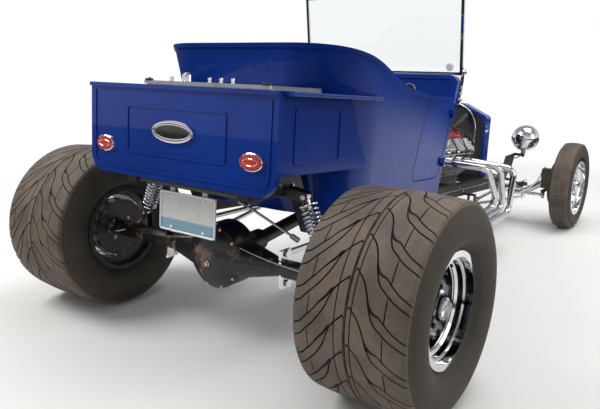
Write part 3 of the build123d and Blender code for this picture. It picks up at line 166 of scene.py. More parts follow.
def lathe(profile: Sequence[Pair], origin: Sequence[float], axis: Sequence[float],
          count: int = 48) -> Points:
    """A profile of (radius, height) pairs turned about an axis.

    Point (i, j) is origin + radius_j * (cos a_i, sin a_i) across the axis + height_j along it.

    Args:
        profile: radius and height pairs.
        origin: where height zero lies.
        axis: the direction of the axis.
        count: steps round the axis.

    Returns:
        A grid of count rows, to be wrapped along its first parameter.
    """
    u, v, w = basis(axis)
    turn = full_turn(count)
    around = np.cos(turn)[:, None] * u + np.sin(turn)[:, None] * v
    radius, height = np.array(profile, float).T
    return (np.array(origin, float) + radius[None, :, None] * around[:, None, :]
            + height[None, :, None] * w)


def tube(path: Points, radius: float | Points, sides: int = 12, up: Sequence[float] = UP) -> Points:
    """A round section carried along a path.

    Point (i, j) is path_i + radius_i * (cos b_j, sin b_j) in the plane across the path, whose
    first direction is up crossed with the path's tangent.

    Args:
        path: points along the middle.
        radius: one radius or one for each point.
        sides: steps round the section.
        up: a direction that the path never follows.

    Returns:
        A grid with one row a path point, to be wrapped along its second parameter.
    """
    path = np.asarray(path, float)
    tangent = np.gradient(path, axis=0)
    tangent /= np.linalg.norm(tangent, axis=1)[:, None]
    first = np.cross(np.array(up, float), tangent)
    first /= np.linalg.norm(first, axis=1)[:, None]
    second = np.cross(tangent, first)
    turn = full_turn(sides)
    size = np.broadcast_to(np.asarray(radius, float), (len(path),))
    return (path[:, None, :] + size[:, None, None] * (np.cos(turn)[None, :, None] * first[:, None, :]
                                                      + np.sin(turn)[None, :, None] * second[:, None, :]))


def curve_through(points: Sequence[Sequence[float]], count: int = 40) -> Points:
    """A smooth path through a few points, by cubic pieces over the running length.

    Args:
        points: the points to pass through.
        count: points of the finished path.

    Returns:
        The path's points.
    """
    spots = np.array(points, float)
    run = np.r_[0, np.cumsum(np.linalg.norm(np.diff(spots, axis=0), axis=1))]
    at = np.linspace(0, run[-1], count)
    return np.stack([smooth_path(list(zip(run, spots[:, k])), at) for k in range(3)], axis=1)


def soft_block(centre: Sequence[float], size: Sequence[float], radius: float, steps: int = 5) -> Points:
    """A box with rounded edges: a ball of the edge radius whose eight parts are moved apart.

    Each point is centre + radius * n + sign(n) * (half size - radius) for a unit vector n.

    Args:
        centre: the middle.
        size: the full size along x, y and z.
        radius: the edge radius.
        steps: steps over a quarter turn.

    Returns:
        A grid wrapped along its first parameter, whose ends close in points.
    """
    quarter = np.linspace(0, math.pi / 2, steps)
    turn = np.concatenate([quarter + k * math.pi / 2 for k in range(4)])
    rise = np.concatenate([quarter - math.pi / 2, quarter])
    signs_t = np.repeat(np.array([(1, 1), (-1, 1), (-1, -1), (1, -1)], float), steps, axis=0)
    sign_r = np.repeat(np.array((-1.0, 1.0)), steps)
    n = np.stack([np.cos(turn)[:, None] * np.cos(rise), np.sin(turn)[:, None] * np.cos(rise),
                  np.ones(len(turn))[:, None] * np.sin(rise)], axis=-1)
    sign = np.stack([np.repeat(signs_t[:, :1], len(rise), 1), np.repeat(signs_t[:, 1:], len(rise), 1),
                     np.repeat(sign_r[None, :], len(turn), 0)], axis=-1)
    inner = np.array(size, float) / 2 - radius
    return np.array(centre, float) + radius * n + sign * inner


def oval_ring(centre: Sequence[float], axes: Pair, section: Sequence[Pair],
              count: int = 72) -> Points:
    """A section carried round an ellipse in the y, z plane.

    Point (i, j) is centre + ((a + out_j) cos t_i, (b + out_j) sin t_i) in y and z, and proud_j towards -x.

    Args:
        centre: the ellipse's middle.
        axes: half width and half height.
        section: (out, proud) pairs of the closed section.
        count: steps round the ellipse.

    Returns:
        A grid wrapped along both parameters.
    """
    turn = full_turn(count)
    out, proud = np.array(section, float).T
    y = (axes[0] + out)[None, :] * np.cos(turn)[:, None]
    z = (axes[1] + out)[None, :] * np.sin(turn)[:, None]
    x = -np.broadcast_to(proud, y.shape)
    return np.array(centre, float) + np.stack([x, y, z], axis=-1)


@dataclass
class MeshParts:
    """One piece's surfaces, gathered before they become a mesh."""

    name: str
    frame: Frame = Frame.CHASSIS  # the working frame the points are in
    points: list[Points] = field(default_factory=list)  # blocks of points
    faces: list[list[int]] = field(default_factory=list)  # lists of corner numbers
    slots: list[int] = field(default_factory=list)  # the material slot of each face
    # For each point, how far it lies in a groove.
    marks: list[Points] = field(default_factory=list)
    count: int = 0  # how many points there are so far

    def grid(self, points: Points, wrap_u: bool = False, wrap_v: bool = False, slot: int = 0,
             mark: Points | None = None) -> MeshParts:
        """Adds a grid of points joined by quads.

        Args:
            points: array of (rows, columns, 3).
            wrap_u: joins the last row to the first.
            wrap_v: joins the last column to the first.
            slot: material slot.
            mark: groove value a point.

        Returns:
            The same object, so calls can be chained.
        """
        rows, columns = points.shape[:2]
        index = np.arange(rows * columns).reshape(rows, columns) + self.count
        if wrap_u:
            index = np.vstack([index, index[:1]])
        if wrap_v:
            index = np.hstack([index, index[:, :1]])
        quads = np.stack([index[:-1, :-1], index[1:, :-1], index[1:, 1:], index[:-1, 1:]], -1).reshape(-1, 4)
        self.points.append(points.reshape(-1, 3))
        self.marks.append(np.zeros(rows * columns) if mark is None else mark.reshape(-1))
        self.faces += quads.tolist()
        self.slots += [slot] * len(quads)
        self.count += rows * columns
        return self

    def cap(self, ring: Points, slot: int = 0) -> MeshParts:
        """Closes a ring of points with one flat face.

        Args:
            ring: the points.
            slot: material slot.

        Returns:
            The same object.
        """
        self.points.append(ring)
        self.marks.append(np.zeros(len(ring)))
        self.faces.append(list(range(self.count, self.count + len(ring))))
        self.slots.append(slot)
        self.count += len(ring)
        return self

    def turned(self, profile: Sequence[Pair], origin: Sequence[float], axis: Sequence[float],
               count: int = 48, slot: int = 0) -> MeshParts:
        """Adds a lathe form; a profile that starts and ends at radius zero closes it."""
        return self.grid(lathe(profile, origin, axis, count), wrap_u=True, slot=slot)

    def ring(self, profile: Sequence[Pair], origin: Sequence[float], axis: Sequence[float],
             count: int = 48, slot: int = 0) -> MeshParts:
        """Adds a closed ring: a closed profile turned about an axis."""
        return self.grid(lathe(profile, origin, axis, count), wrap_u=True, wrap_v=True, slot=slot)

    def pipe(self, path: Points, radius: float | Points, sides: int = 12, slot: int = 0,
             up: Sequence[float] = UP) -> MeshParts:
        """Adds a round bar along a path with flat ends."""
        skin = tube(path, radius, sides, up)
        return self.grid(skin, wrap_v=True, slot=slot).cap(skin[0], slot).cap(skin[-1], slot)

    def block(self, centre: Sequence[float], size: Sequence[float], radius: float, slot: int = 0,
              turn: Points | None = None) -> MeshParts:
        """Adds a box with rounded edges.

        Args:
            centre: its middle.
            size: its three edges.
            radius: rounding of the edges.
            slot: material slot.
            turn: rows with the directions of its own x, y and z.

        Returns:
            The same object.
        """
        grid = soft_block((0, 0, 0), size, radius)
        if turn is not None:
            grid = grid @ turn
        return self.grid(grid + np.array(centre, float), wrap_u=True, slot=slot)

    def bolt(self, spot: Sequence[float], axis: Sequence[float], size: float, slot: int = 0) -> MeshParts:
        """Adds a hexagon bolt head on its washer.

        Args:
            spot: where the washer lies.
            axis: direction from the washer to the head.
            size: radius of the head.
            slot: material slot.

        Returns:
            The same object.
        """
        washer = [(0, 0), (size * 1.25, 0), (size * 1.25, size * 0.18), (0, size * 0.18)]
        head = [(0, size * 0.18), (size, size * 0.18), (size, size * 0.75), (size * 0.86, size * 0.85),
                (0, size * 0.85)]
        return self.turned(washer, spot, axis, 20, slot).turned(head, spot, axis, 6, slot)

    def build(self, body: str, slot: str, finishes: Sequence[Finish]) -> bpy.types.Object:
        """Makes the object, dresses it and lets it ride on a body.

        Args:
            body: the CAD body that carries it.
            slot: not used.
            finishes: the finishes of material slots 0, 1 and so on.

        Returns:
            The finished object.
        """
        mesh = bpy.data.meshes.new(self.name)
        points = self.frame.place(np.concatenate(self.points)) * MM
        mesh.from_pydata(points.tolist(), [], self.faces)
        mark = mesh.attributes.new("groove", "FLOAT", "POINT")
        mark.data.foreach_set("value", np.concatenate(self.marks).astype(np.float32))
        mesh.polygons.foreach_set("material_index", np.array(self.slots, np.int32))
        mesh.polygons.foreach_set("use_smooth", np.ones(len(mesh.polygons), bool))
        work = bmesh.new()
        work.from_mesh(mesh)
        bmesh.ops.remove_doubles(work, verts=work.verts, dist=WELD)
        bmesh.ops.dissolve_degenerate(work, edges=work.edges, dist=WELD)
        bmesh.ops.recalc_face_normals(work, faces=work.faces)
        work.to_mesh(mesh)
        work.free()
        mesh.set_sharp_from_angle(angle=SHARP)
        piece = bpy.data.objects.new(self.name, mesh)
        bpy.context.scene.collection.objects.link(piece)
        for finish in finishes:
            mesh.materials.append(finish.material())
        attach(piece, body)
        log.info("%s: %d points", self.name, len(mesh.vertices))
        return piece


# Finishes


class Graph:
    """A material's node tree, with short calls for the nodes that the finishes use."""

    def __init__(self, name: str) -> None:
        """Starts a material with a shader joined to its output.

        Args:
            name: the material's name.
        """
        self.result = bpy.data.materials.new(name)
        self.result.use_nodes = True
        self.tree = self.result.node_tree
        self.tree.nodes.clear()
        self.shader = self.add("ShaderNodeBsdfPrincipled")
        output = self.add("ShaderNodeOutputMaterial")
        self.tree.links.new(self.shader.outputs[0], output.inputs["Surface"])
        self.place = self.add("ShaderNodeTexCoord").outputs["Object"]

    def add(self, kind: str, inputs: dict[str | int, object] | None = None,
            **values: object) -> bpy.types.Node:
        """A new node.

        Args:
            kind: the node's type.
            inputs: what some of its sockets take.
            values: properties to set.

        Returns:
            The node.
        """
        node = self.tree.nodes.new(kind)
        for name, value in values.items():
            setattr(node, name, value)
        for socket, value in (inputs or {}).items():
            self.put(node, socket, value)
        return node

    def put(self, node: bpy.types.Node, socket: str | int, value: object) -> None:
        """Sets a socket to a value or joins it to another socket.

        Args:
            node: the node that has the socket.
            socket: its name or place.
            value: a number, a colour or another node's socket.
        """
        if isinstance(value, Socket):
            self.tree.links.new(value, node.inputs[socket])
        elif isinstance(value, tuple) and len(value) == 3 and len(node.inputs[socket].default_value) == 4:
            node.inputs[socket].default_value = (*value, 1)
        else:
            node.inputs[socket].default_value = value

    def set(self, **values: object) -> None:
        """Sets the shader's own sockets; an underscore stands for a space."""
        for name, value in values.items():
            self.put(self.shader, name.replace("_", " "), value)

    def noise(self, scale: float, detail: float = 4, rough: float = 0.55) -> Socket:
        """Cloudy noise.

        Args:
            scale: how many clouds a metre has.
            detail: how many finer layers lie over them.
            rough: how strong the finer layers are.

        Returns:
            A socket from 0 to 1.
        """
        inputs = {"Vector": self.place, "Scale": scale, "Detail": detail, "Roughness": rough}
        return self.add("ShaderNodeTexNoise", inputs).outputs["Fac"]

    def cells(self, scale: float) -> Socket:
        """Distance to the nearest of many scattered cell points."""
        return self.add("ShaderNodeTexVoronoi", {"Vector": self.place, "Scale": scale}).outputs["Distance"]

    def wave(self, scale: float, axis: str, profile: str = "SIN") -> Socket:
        """Straight even bands across one object axis."""
        inputs = {"Vector": self.place, "Scale": scale}
        node = self.add("ShaderNodeTexWave", inputs, bands_direction=axis, wave_profile=profile)
        return node.outputs["Fac"]

    def ramp(self, value: Socket, low: float, high: float) -> Socket:
        """0 below low, 1 above high, smooth between."""
        inputs = {"Value": value, "From Min": low, "From Max": high}
        return self.add("ShaderNodeMapRange", inputs, interpolation_type="SMOOTHSTEP").outputs[0]

    def span(self, value: Socket, low: float, high: float) -> Socket:
        """A value of 0 to 1 stretched to low to high."""
        return self.add("ShaderNodeMapRange", {"Value": value, "To Min": low, "To Max": high}).outputs[0]

    def mix(self, share: Socket | float, a: object, b: object) -> Socket:
        """A colour between two colours."""
        return self.add("ShaderNodeMix", {0: share, 6: a, 7: b}, data_type="RGBA").outputs[2]

    def calc(self, operation: str, a: object, b: object = 0.0) -> Socket:
        """One sum on two values."""
        return self.add("ShaderNodeMath", {0: a, 1: b}, operation=operation).outputs[0]

    def times(self, a: object, b: object) -> Socket:
        """One value times another."""
        return self.calc("MULTIPLY", a, b)

    def plus(self, a: object, b: object) -> Socket:
        """The sum of two values."""
        return self.calc("ADD", a, b)

    def attribute(self, name: str) -> Socket:
        """A value stored on the mesh."""
        return self.add("ShaderNodeAttribute", attribute_name=name).outputs["Fac"]

    def across(self, axis: str) -> Socket:
        """The size of one object coordinate without its sign, in metres."""
        return self.calc("ABSOLUTE", self.add("ShaderNodeSeparateXYZ", {0: self.place}).outputs[axis])

    def upward(self) -> Socket:
        """How far a surface faces up, from -1 to 1."""
        normal = self.add("ShaderNodeNewGeometry").outputs["Normal"]
        return self.add("ShaderNodeSeparateXYZ", {0: normal}).outputs["Z"]

    def bump(self, height: Socket, strength: float, depth_mm: float) -> None:
        """Joins a normal made from a height to the shader.

        Args:
            height: the height, 0 to 1.
            strength: how strongly the light follows it.
            depth_mm: what a height of 1 stands for.
        """
        inputs = {"Height": height, "Strength": strength, "Distance": depth_mm * MM}
        self.put(self.shader, "Normal", self.add("ShaderNodeBump", inputs).outputs[0])


@dataclass(frozen=True)
class Finish:
    """A finish; its material is made once and shared."""

    name: str

    def material(self) -> bpy.types.Material:
        """The finish's material, built on first use.

        Returns:
            The material, named after the finish.
        """
        label = f"{self.name}_finish"
        found = bpy.data.materials.get(label)
        if found is None:
            graph = Graph(label)
            self.draw(graph)
            found = graph.result
        return found

    def draw(self, graph: Graph) -> None:
        """Draws the finish's nodes.

        Args:
            graph: the new material's nodes.
        """
        raise NotImplementedError


@dataclass(frozen=True)
class BodyPaint(Finish):
    """Gloss paint under clear coat: faint cloudiness, orange peel and a little dust on top."""

    colour: Colour = (0.003, 0.038, 0.290)  # paint in the light clouds
    deep: Colour = (0.002, 0.026, 0.210)  # paint in the dark clouds
    dust: Colour = (0.10, 0.12, 0.16)  # dust on faces that look up
    dust_share: float = 0.06  # how much of it shows
    coat: float = 0.5  # weight of the clear coat

    def draw(self, graph: Graph) -> None:
        """Draws the finish's nodes.

        Args:
            graph: the new material's nodes.
        """
        cloud = graph.ramp(graph.noise(2.2, 3), 0.3, 0.75)
        colour = graph.mix(cloud, self.deep, self.colour)
        settled = graph.times(graph.ramp(graph.upward(), 0.2, 1.0), graph.noise(26, 6, 0.65))
        settled = graph.times(settled, self.dust_share)
        graph.set(Base_Color=graph.mix(settled, colour, self.dust), Metallic=0.0, Coat_Weight=self.coat,
                  Coat_Roughness=0.03, Coat_IOR=1.36, IOR=1.4, Specular_IOR_Level=0.2)
        graph.set(Roughness=graph.span(graph.noise(9, 5), 0.25, 0.42))
        graph.bump(graph.noise(420, 2, 0.4), 0.05, 0.4)


@dataclass(frozen=True)
class BlackPaint(Finish):
    """Chassis paint, half gloss, with road dust and brown patches in which rust shows through; on the rear
    axle the patches also stand for painted sunlight.
    """

    colour: Colour = (0.014, 0.013, 0.013)
    # Brown of the patches: rust, and on the rear axle also painted patches of sunlight.
    rust: Colour = (0.12, 0.045, 0.02)
    rust_from: float = 0.62  # noise level where a patch starts
    dust: Colour = (0.16, 0.13, 0.10)  # the dust in fine specks
    gloss: float = 0.35  # roughness of clean paint

    def draw(self, graph: Graph) -> None:
        """Draws the finish's nodes.

        Args:
            graph: the new material's nodes.
        """
        patches = graph.ramp(graph.noise(13, 7, 0.62), self.rust_from, self.rust_from + 0.12)
        grime = graph.times(graph.ramp(graph.noise(38, 6, 0.7), 0.45, 0.8), 0.35)
        colour = graph.mix(grime, graph.mix(patches, self.colour, self.rust), self.dust)
        rough = graph.plus(graph.times(patches, 0.4), self.gloss)
        graph.set(Base_Color=colour, Roughness=graph.plus(rough, graph.span(grime, 0, 0.6)),
                  Metallic=0.0,
                  Specular_IOR_Level=0.5)
        raised = graph.plus(graph.noise(160, 5, 0.6), graph.times(patches, 0.5))
        graph.bump(raised, 0.25, 0.6)


@dataclass(frozen=True)
class BrightMetal(Finish):
    """Polished metal with faint smudges, water marks and tarnish in its noise."""

    colour: Colour = (0.78, 0.79, 0.80)  # clean metal
    tarnish: Colour = (0.50, 0.46, 0.40)  # stained metal
    tarnish_share: float = 0.25  # how far a stain reaches its colour
    rough_low: float = 0.03  # roughness where clean
    rough_high: float = 0.12  # roughness where stained
    grain: float = 0.02  # strength of the fine bump

    def draw(self, graph: Graph) -> None:
        """Draws the finish's nodes.

        Args:
            graph: the new material's nodes.
        """
        smudge = graph.ramp(graph.noise(17, 6, 0.62), 0.45, 0.85)
        share = graph.times(smudge, self.tarnish_share)
        graph.set(Base_Color=graph.mix(share, self.colour, self.tarnish), Metallic=1.0,
                  Roughness=graph.span(smudge, self.rough_low, self.rough_high))
        graph.bump(graph.noise(300, 3, 0.5), self.grain, 0.3)


@dataclass(frozen=True)
class WheelMetal(Finish):
    """Wheel metal: polished towards the road side; on the side that faces the brake it is dull, and painted
    near black as shade with brown stains.
    """

    bright: Colour = (0.72, 0.72, 0.74)  # colour of the polished side
    inner_shade: Colour = (0.030, 0.027, 0.024)  # near-black painted shade of the brake side
    from_y: float = 0.700  # distance from the middle plane where the polished metal starts and the painted shade ends, in metres
    to_y: float = 0.745  # distance where it is complete

    def draw(self, graph: Graph) -> None:
        """Draws the finish's nodes.

        Args:
            graph: the new material's nodes.
        """
        smudge = graph.ramp(graph.noise(21, 6, 0.62), 0.45, 0.85)
        polish_out_of_shade = graph.ramp(graph.across("Y"), self.from_y, self.to_y)
        worn = graph.mix(graph.times(smudge, 0.3), self.bright, (0.42, 0.38, 0.33))
        # Painted shade: the brake side turns near black, with brown stains where the smudges are.
        inner_shade_stained = graph.mix(smudge, self.inner_shade, (0.10, 0.075, 0.055))
        rough = graph.mix(polish_out_of_shade, (0.55, 0.55, 0.55), (0.07, 0.07, 0.07))
        graph.set(Base_Color=graph.mix(polish_out_of_shade, inner_shade_stained, worn), Metallic=graph.span(polish_out_of_shade, 0.35, 1.0),
                  Roughness=graph.plus(rough, graph.span(smudge, 0.0, 0.1)))
        graph.bump(graph.noise(340, 3, 0.5), 0.04, 0.3)


@dataclass(frozen=True)
class CastMetal(Finish):
    """Rough casting, painted or bare, with stains of oil and rust."""

    colour: Colour = (0.06, 0.06, 0.06)
    stain: Colour = (0.05, 0.03, 0.02)
    metallic: float = 0.0  # 1 for bare metal
    rough: float = 0.5  # middle roughness

    def draw(self, graph: Graph) -> None:
        """Draws the finish's nodes.

        Args:
            graph: the new material's nodes.
        """
        stains = graph.ramp(graph.noise(22, 7, 0.65), 0.45, 0.75)
        graph.set(Base_Color=graph.mix(stains, self.colour, self.stain), Metallic=self.metallic,
                  Roughness=graph.span(graph.noise(60, 4), self.rough - 0.12, self.rough + 0.2))
        graph.bump(graph.noise(520, 4, 0.7), 0.35, 0.5)


@dataclass(frozen=True)
class TyreRubber(Finish):
    """Dusty rubber: brown-grey where it meets the road, near black in the grooves as painted shade, with fine
    scuffs.
    """

    worn: Colour = (0.165, 0.130, 0.104)  # rubber in the pale clouds and scuffs
    fresh: Colour = (0.078, 0.061, 0.049)  # rubber in the dark clouds
    groove: Colour = (0.006, 0.005, 0.004)  # painted shade in a groove's depth

    def draw(self, graph: Graph) -> None:
        """Draws the finish's nodes.

        Args:
            graph: the new material's nodes.
        """
        cloud = graph.ramp(graph.noise(7, 6, 0.65), 0.35, 0.7)
        speck = graph.ramp(graph.noise(230, 5, 0.7), 0.4, 0.75)
        clouded = graph.mix(cloud, self.fresh, self.worn)
        colour = graph.mix(graph.times(speck, 0.55), clouded, self.worn)
        # Painted shade: the deeper a point lies in a groove, the nearer black its colour.
        deep = graph.ramp(graph.attribute("groove"), 0.15, 0.8)
        graph.set(Base_Color=graph.mix(deep, colour, self.groove), Roughness=graph.span(cloud, 0.62, 0.86),
                  Specular_IOR_Level=0.35)
        graph.bump(graph.plus(graph.noise(700, 4, 0.7),
                              graph.times(graph.noise(90, 5), 1.5)),
                   0.35, 0.5)


@dataclass(frozen=True)
class Leather(Finish):
    """Soft grained hide: small cells, wrinkles and a dull sheen that varies with wear."""

    colour: Colour = (0.020, 0.020, 0.022)  # new hide
    worn: Colour = (0.050, 0.048, 0.046)  # rubbed hide

    def draw(self, graph: Graph) -> None:
        """Draws the finish's nodes.

        Args:
            graph: the new material's nodes.
        """
        wear = graph.ramp(graph.noise(8, 5), 0.45, 0.8)
        graph.set(Base_Color=graph.mix(wear, self.colour, self.worn), Roughness=graph.span(wear, 0.42, 0.6),
                  Sheen_Weight=0.1, Specular_IOR_Level=0.45)
        grain = graph.plus(graph.cells(620), graph.times(graph.noise(45, 5), 0.8))
        graph.bump(grain, 0.4, 0.5)


@dataclass(frozen=True)
class ClearGlass(Finish):
    """Flat glass with a faint tint and dust."""

    tint: Colour = (0.93, 0.97, 0.96)  # colour of light through it

    def draw(self, graph: Graph) -> None:
        """Draws the finish's nodes.

        Args:
            graph: the new material's nodes.
        """
        dust = graph.ramp(graph.noise(55, 6, 0.7), 0.55, 0.95)
        graph.set(Base_Color=self.tint, Transmission_Weight=1.0, IOR=1.45,
                  Roughness=graph.span(dust, 0.0, 0.07))


@dataclass(frozen=True)
class RedLens(Finish):
    """Red lamp lens with moulded ribs; the lighter orange on the ribs is painted highlight that stands for a
    bright back.
    """

    colour: Colour = (0.62, 0.012, 0.012)  # between the ribs
    rib_highlight: Colour = (0.9, 0.10, 0.03)  # painted highlight on the ribs

    def draw(self, graph: Graph) -> None:
        """Draws the finish's nodes.

        Args:
            graph: the new material's nodes.
        """
        ribs = graph.wave(30, "Y")
        graph.set(Base_Color=graph.mix(graph.ramp(ribs, 0.1, 0.9), self.colour, self.rib_highlight), Roughness=0.12,
                  Coat_Weight=1.0, Coat_Roughness=0.03, Transmission_Weight=0.25)
        graph.bump(graph.plus(ribs, graph.wave(30, "Z")), 0.5, 0.8)


@dataclass(frozen=True)
class Enamel(Finish):
    """Flat hard paint with fine soiling, for the sticker, dials and small parts."""

    colour: Colour = (0.72, 0.74, 0.76)
    soil: Colour = (0.45, 0.42, 0.38)
    soil_share: float = 0.35  # how far it covers
    rough: float = 0.35  # roughness of clean paint

    def draw(self, graph: Graph) -> None:
        """Draws the finish's nodes.

        Args:
            graph: the new material's nodes.
        """
        dirt = graph.times(graph.ramp(graph.noise(30, 7, 0.7), 0.4, 0.8), self.soil_share)
        graph.set(Base_Color=graph.mix(dirt, self.colour, self.soil),
                  Roughness=graph.span(dirt, self.rough, 0.7),
                  Coat_Weight=0.3, Coat_Roughness=0.1)
        graph.bump(graph.noise(250, 3), 0.08, 0.3)


@dataclass(frozen=True)
class PlateEnamel(Finish):
    """Pressed plate, pale above and light blue along its foot, with fine soiling."""

    pale: Colour = (0.66, 0.66, 0.64)  # the field
    band: Colour = (0.22, 0.38, 0.48)  # the foot
    soil: Colour = (0.30, 0.26, 0.22)
    band_z: float = 0.566  # height where the band ends, in metres

    def draw(self, graph: Graph) -> None:
        """Draws the finish's nodes.

        Args:
            graph: the new material's nodes.
        """
        dirt = graph.times(graph.ramp(graph.noise(34, 7, 0.7), 0.45, 0.85), 0.4)
        above = graph.ramp(graph.across("Z"), self.band_z, self.band_z + 0.008)
        paint = graph.mix(above, self.band, self.pale)
        graph.set(Base_Color=graph.mix(dirt, paint, self.soil), Roughness=graph.span(dirt, 0.3, 0.7),
                  Coat_Weight=0.3, Coat_Roughness=0.1)
        graph.bump(graph.noise(60, 3), 0.15, 0.5)


@dataclass(frozen=True)
class FinnedCore(Finish):
    """Radiator core: rows of thin fins in black, darker between the fins as painted shade."""

    colour: Colour = (0.012, 0.012, 0.012)  # painted shade between the fins
    edge: Colour = (0.07, 0.07, 0.07)  # on the fins' edges

    def draw(self, graph: Graph) -> None:
        """Draws the finish's nodes.

        Args:
            graph: the new material's nodes.
        """
        fins = graph.wave(85, "Z", "TRI")
        tubes = graph.ramp(graph.wave(14, "Y"), 0.75, 0.9)
        # The fins' pattern paints the gaps between fins darker, as shade.
        graph.set(Base_Color=graph.mix(graph.ramp(fins, 0.4, 0.9), self.colour, self.edge), Roughness=0.5,
                  Metallic=0.3)
        graph.bump(graph.plus(fins, tubes), 0.8, 2.0)


BLUE = BodyPaint("body_paint")
CHASSIS = BlackPaint("chassis_black")
# The rear axle's brown patches are paler and wider: rust, and painted patches of sunlight.
AXLE_BLACK_RUST_AND_SUN = BlackPaint("axle_black_rust_and_sun", (0.010, 0.009, 0.008), (0.20, 0.125, 0.080), 0.53,
                        (0.10, 0.075, 0.055), 0.30)
CHROME = BrightMetal("chrome", (0.70, 0.71, 0.73))
PIPES = BrightMetal("header_chrome", (0.62, 0.62, 0.64), (0.34, 0.27, 0.20), 0.45)
ALUMINIUM = BrightMetal("polished_aluminium", (0.72, 0.72, 0.74), (0.50, 0.47, 0.43), 0.2, 0.05, 0.16, 0.05)
BARE = BrightMetal("bare_aluminium", (0.34, 0.35, 0.36), (0.20, 0.19, 0.18), 0.5, 0.28, 0.5, 0.12)
RIM = WheelMetal("wheel_metal")
STEEL = BrightMetal("plain_steel", (0.42, 0.40, 0.38), (0.22, 0.15, 0.10), 0.6, 0.25, 0.5, 0.1)
ENGINE = CastMetal("engine_black", (0.02, 0.02, 0.022), (0.05, 0.035, 0.025), 0.0, 0.42)
IRON = CastMetal("brake_iron", (0.055, 0.05, 0.047), (0.09, 0.05, 0.03), 0.3, 0.55)
RUBBER = TyreRubber("tyre_rubber")
SIDEWALL = TyreRubber("tyre_sidewall", (0.062, 0.052, 0.040), (0.030, 0.025, 0.019))
HOSE = CastMetal("black_rubber", (0.014, 0.014, 0.014), (0.03, 0.028, 0.026), 0.0, 0.6)
HIDE = Leather("seat_hide")
GLASS = ClearGlass("clear_glass")
LENS = RedLens("red_lens")
PLATE = PlateEnamel("plate_enamel")
WHITE = Enamel("white_enamel", (0.86, 0.86, 0.86), (0.7, 0.68, 0.65), 0.2, 0.3)
BADGE = Enamel("badge_black", (0.012, 0.012, 0.014), (0.03, 0.03, 0.03), 0.2, 0.15)
CORE = FinnedCore("finned_core")
RED_CAP = Enamel("red_cap", (0.55, 0.02, 0.015), (0.30, 0.02, 0.02), 0.3, 0.3)
PALE_HOSE = Enamel("pale_hose", (0.62, 0.62, 0.60), (0.40, 0.38, 0.35), 0.4, 0.4)
PLEAT = Enamel("pleated_paper", (0.42, 0.36, 0.26), (0.25, 0.20, 0.15), 0.5, 0.7)
CLAMP = BrightMetal("teal_clamp", (0.10, 0.42, 0.45), (0.3, 0.3, 0.3), 0.2, 0.1, 0.3)
# Near black: carbon in a pipe's mouth, and painted shade of its hollow.
SOOT_AND_SHADE = CastMetal("pipe_soot_and_shade", (0.006, 0.006, 0.006), (0.02, 0.016, 0.012), 0.0, 0.8)
COIL = BrightMetal("coil_steel", (0.50, 0.53, 0.60), (0.30, 0.27, 0.24), 0.4, 0.10, 0.28, 0.04)


def dress(nodes: dict[str, bpy.types.Object], finish: Finish, *names: str) -> None:
    """Gives carried-over CAD nodes a finish.

    Args:
        nodes: the frame's CAD objects by name.
        finish: the finish they take.
        names: the nodes.
    """
    for name in names:
        mesh = nodes[name].data
        mesh.materials.clear()
        mesh.materials.append(finish.material())


# Wheels and tyres


@dataclass(frozen=True)
class TreadHalf:
    """Groove paths on one half of a tread, as shares of its half width against degrees round the tyre."""

    start: float  # where the first hook lies, in degrees
    main: tuple[Pair, ...]  # the path of the long groove that runs to the shoulder
    tine: tuple[Pair, ...]  # how far the second groove stands ahead of the first, in degrees
    ring: float  # share of the half width at which a groove runs round the tyre
    link: float  # share at which short grooves join a tine to the next long groove


OUTER_HALF = TreadHalf(
    30.6,
    ((0.0, 3.0), (0.1, 0.0), (0.22, -3.5), (0.32, -9.0), (0.4, -16.0), (0.48, -20.8), (0.62, -24.6),
     (0.78, -28.0), (1.0, -31.0), (1.12, -32.5)),
    ((0.36, 0.0), (0.46, 3.2), (0.55, 5.4), (0.7, 5.4), (0.93, 4.6), (1.12, 4.4)),
    0.10, 0.68)
INNER_HALF = TreadHalf(
    26.7,
    ((0.0, 2.5), (0.08, 0.0), (0.2, -3.4), (0.3, -7.5), (0.4, -15.0), (0.5, -20.0), (0.62, -24.5),
     (0.78, -29.3), (0.9, -33.0), (1.0, -34.5), (1.12, -36.0)),
    ((0.28, 0.0), (0.36, 3.5), (0.47, 6.2), (0.72, 6.5), (1.12, 6.8)),
    0.20, 0.74)
FRONT_HALF = TreadHalf(
    0.0,
    ((0.0, 0.0), (0.3, -0.6), (0.6, -2.2), (1.0, -3.4), (1.12, -3.7)),
    ((0.0, 2.6), (0.5, 3.0), (1.12, 3.0)),
    0.30, 0.66)


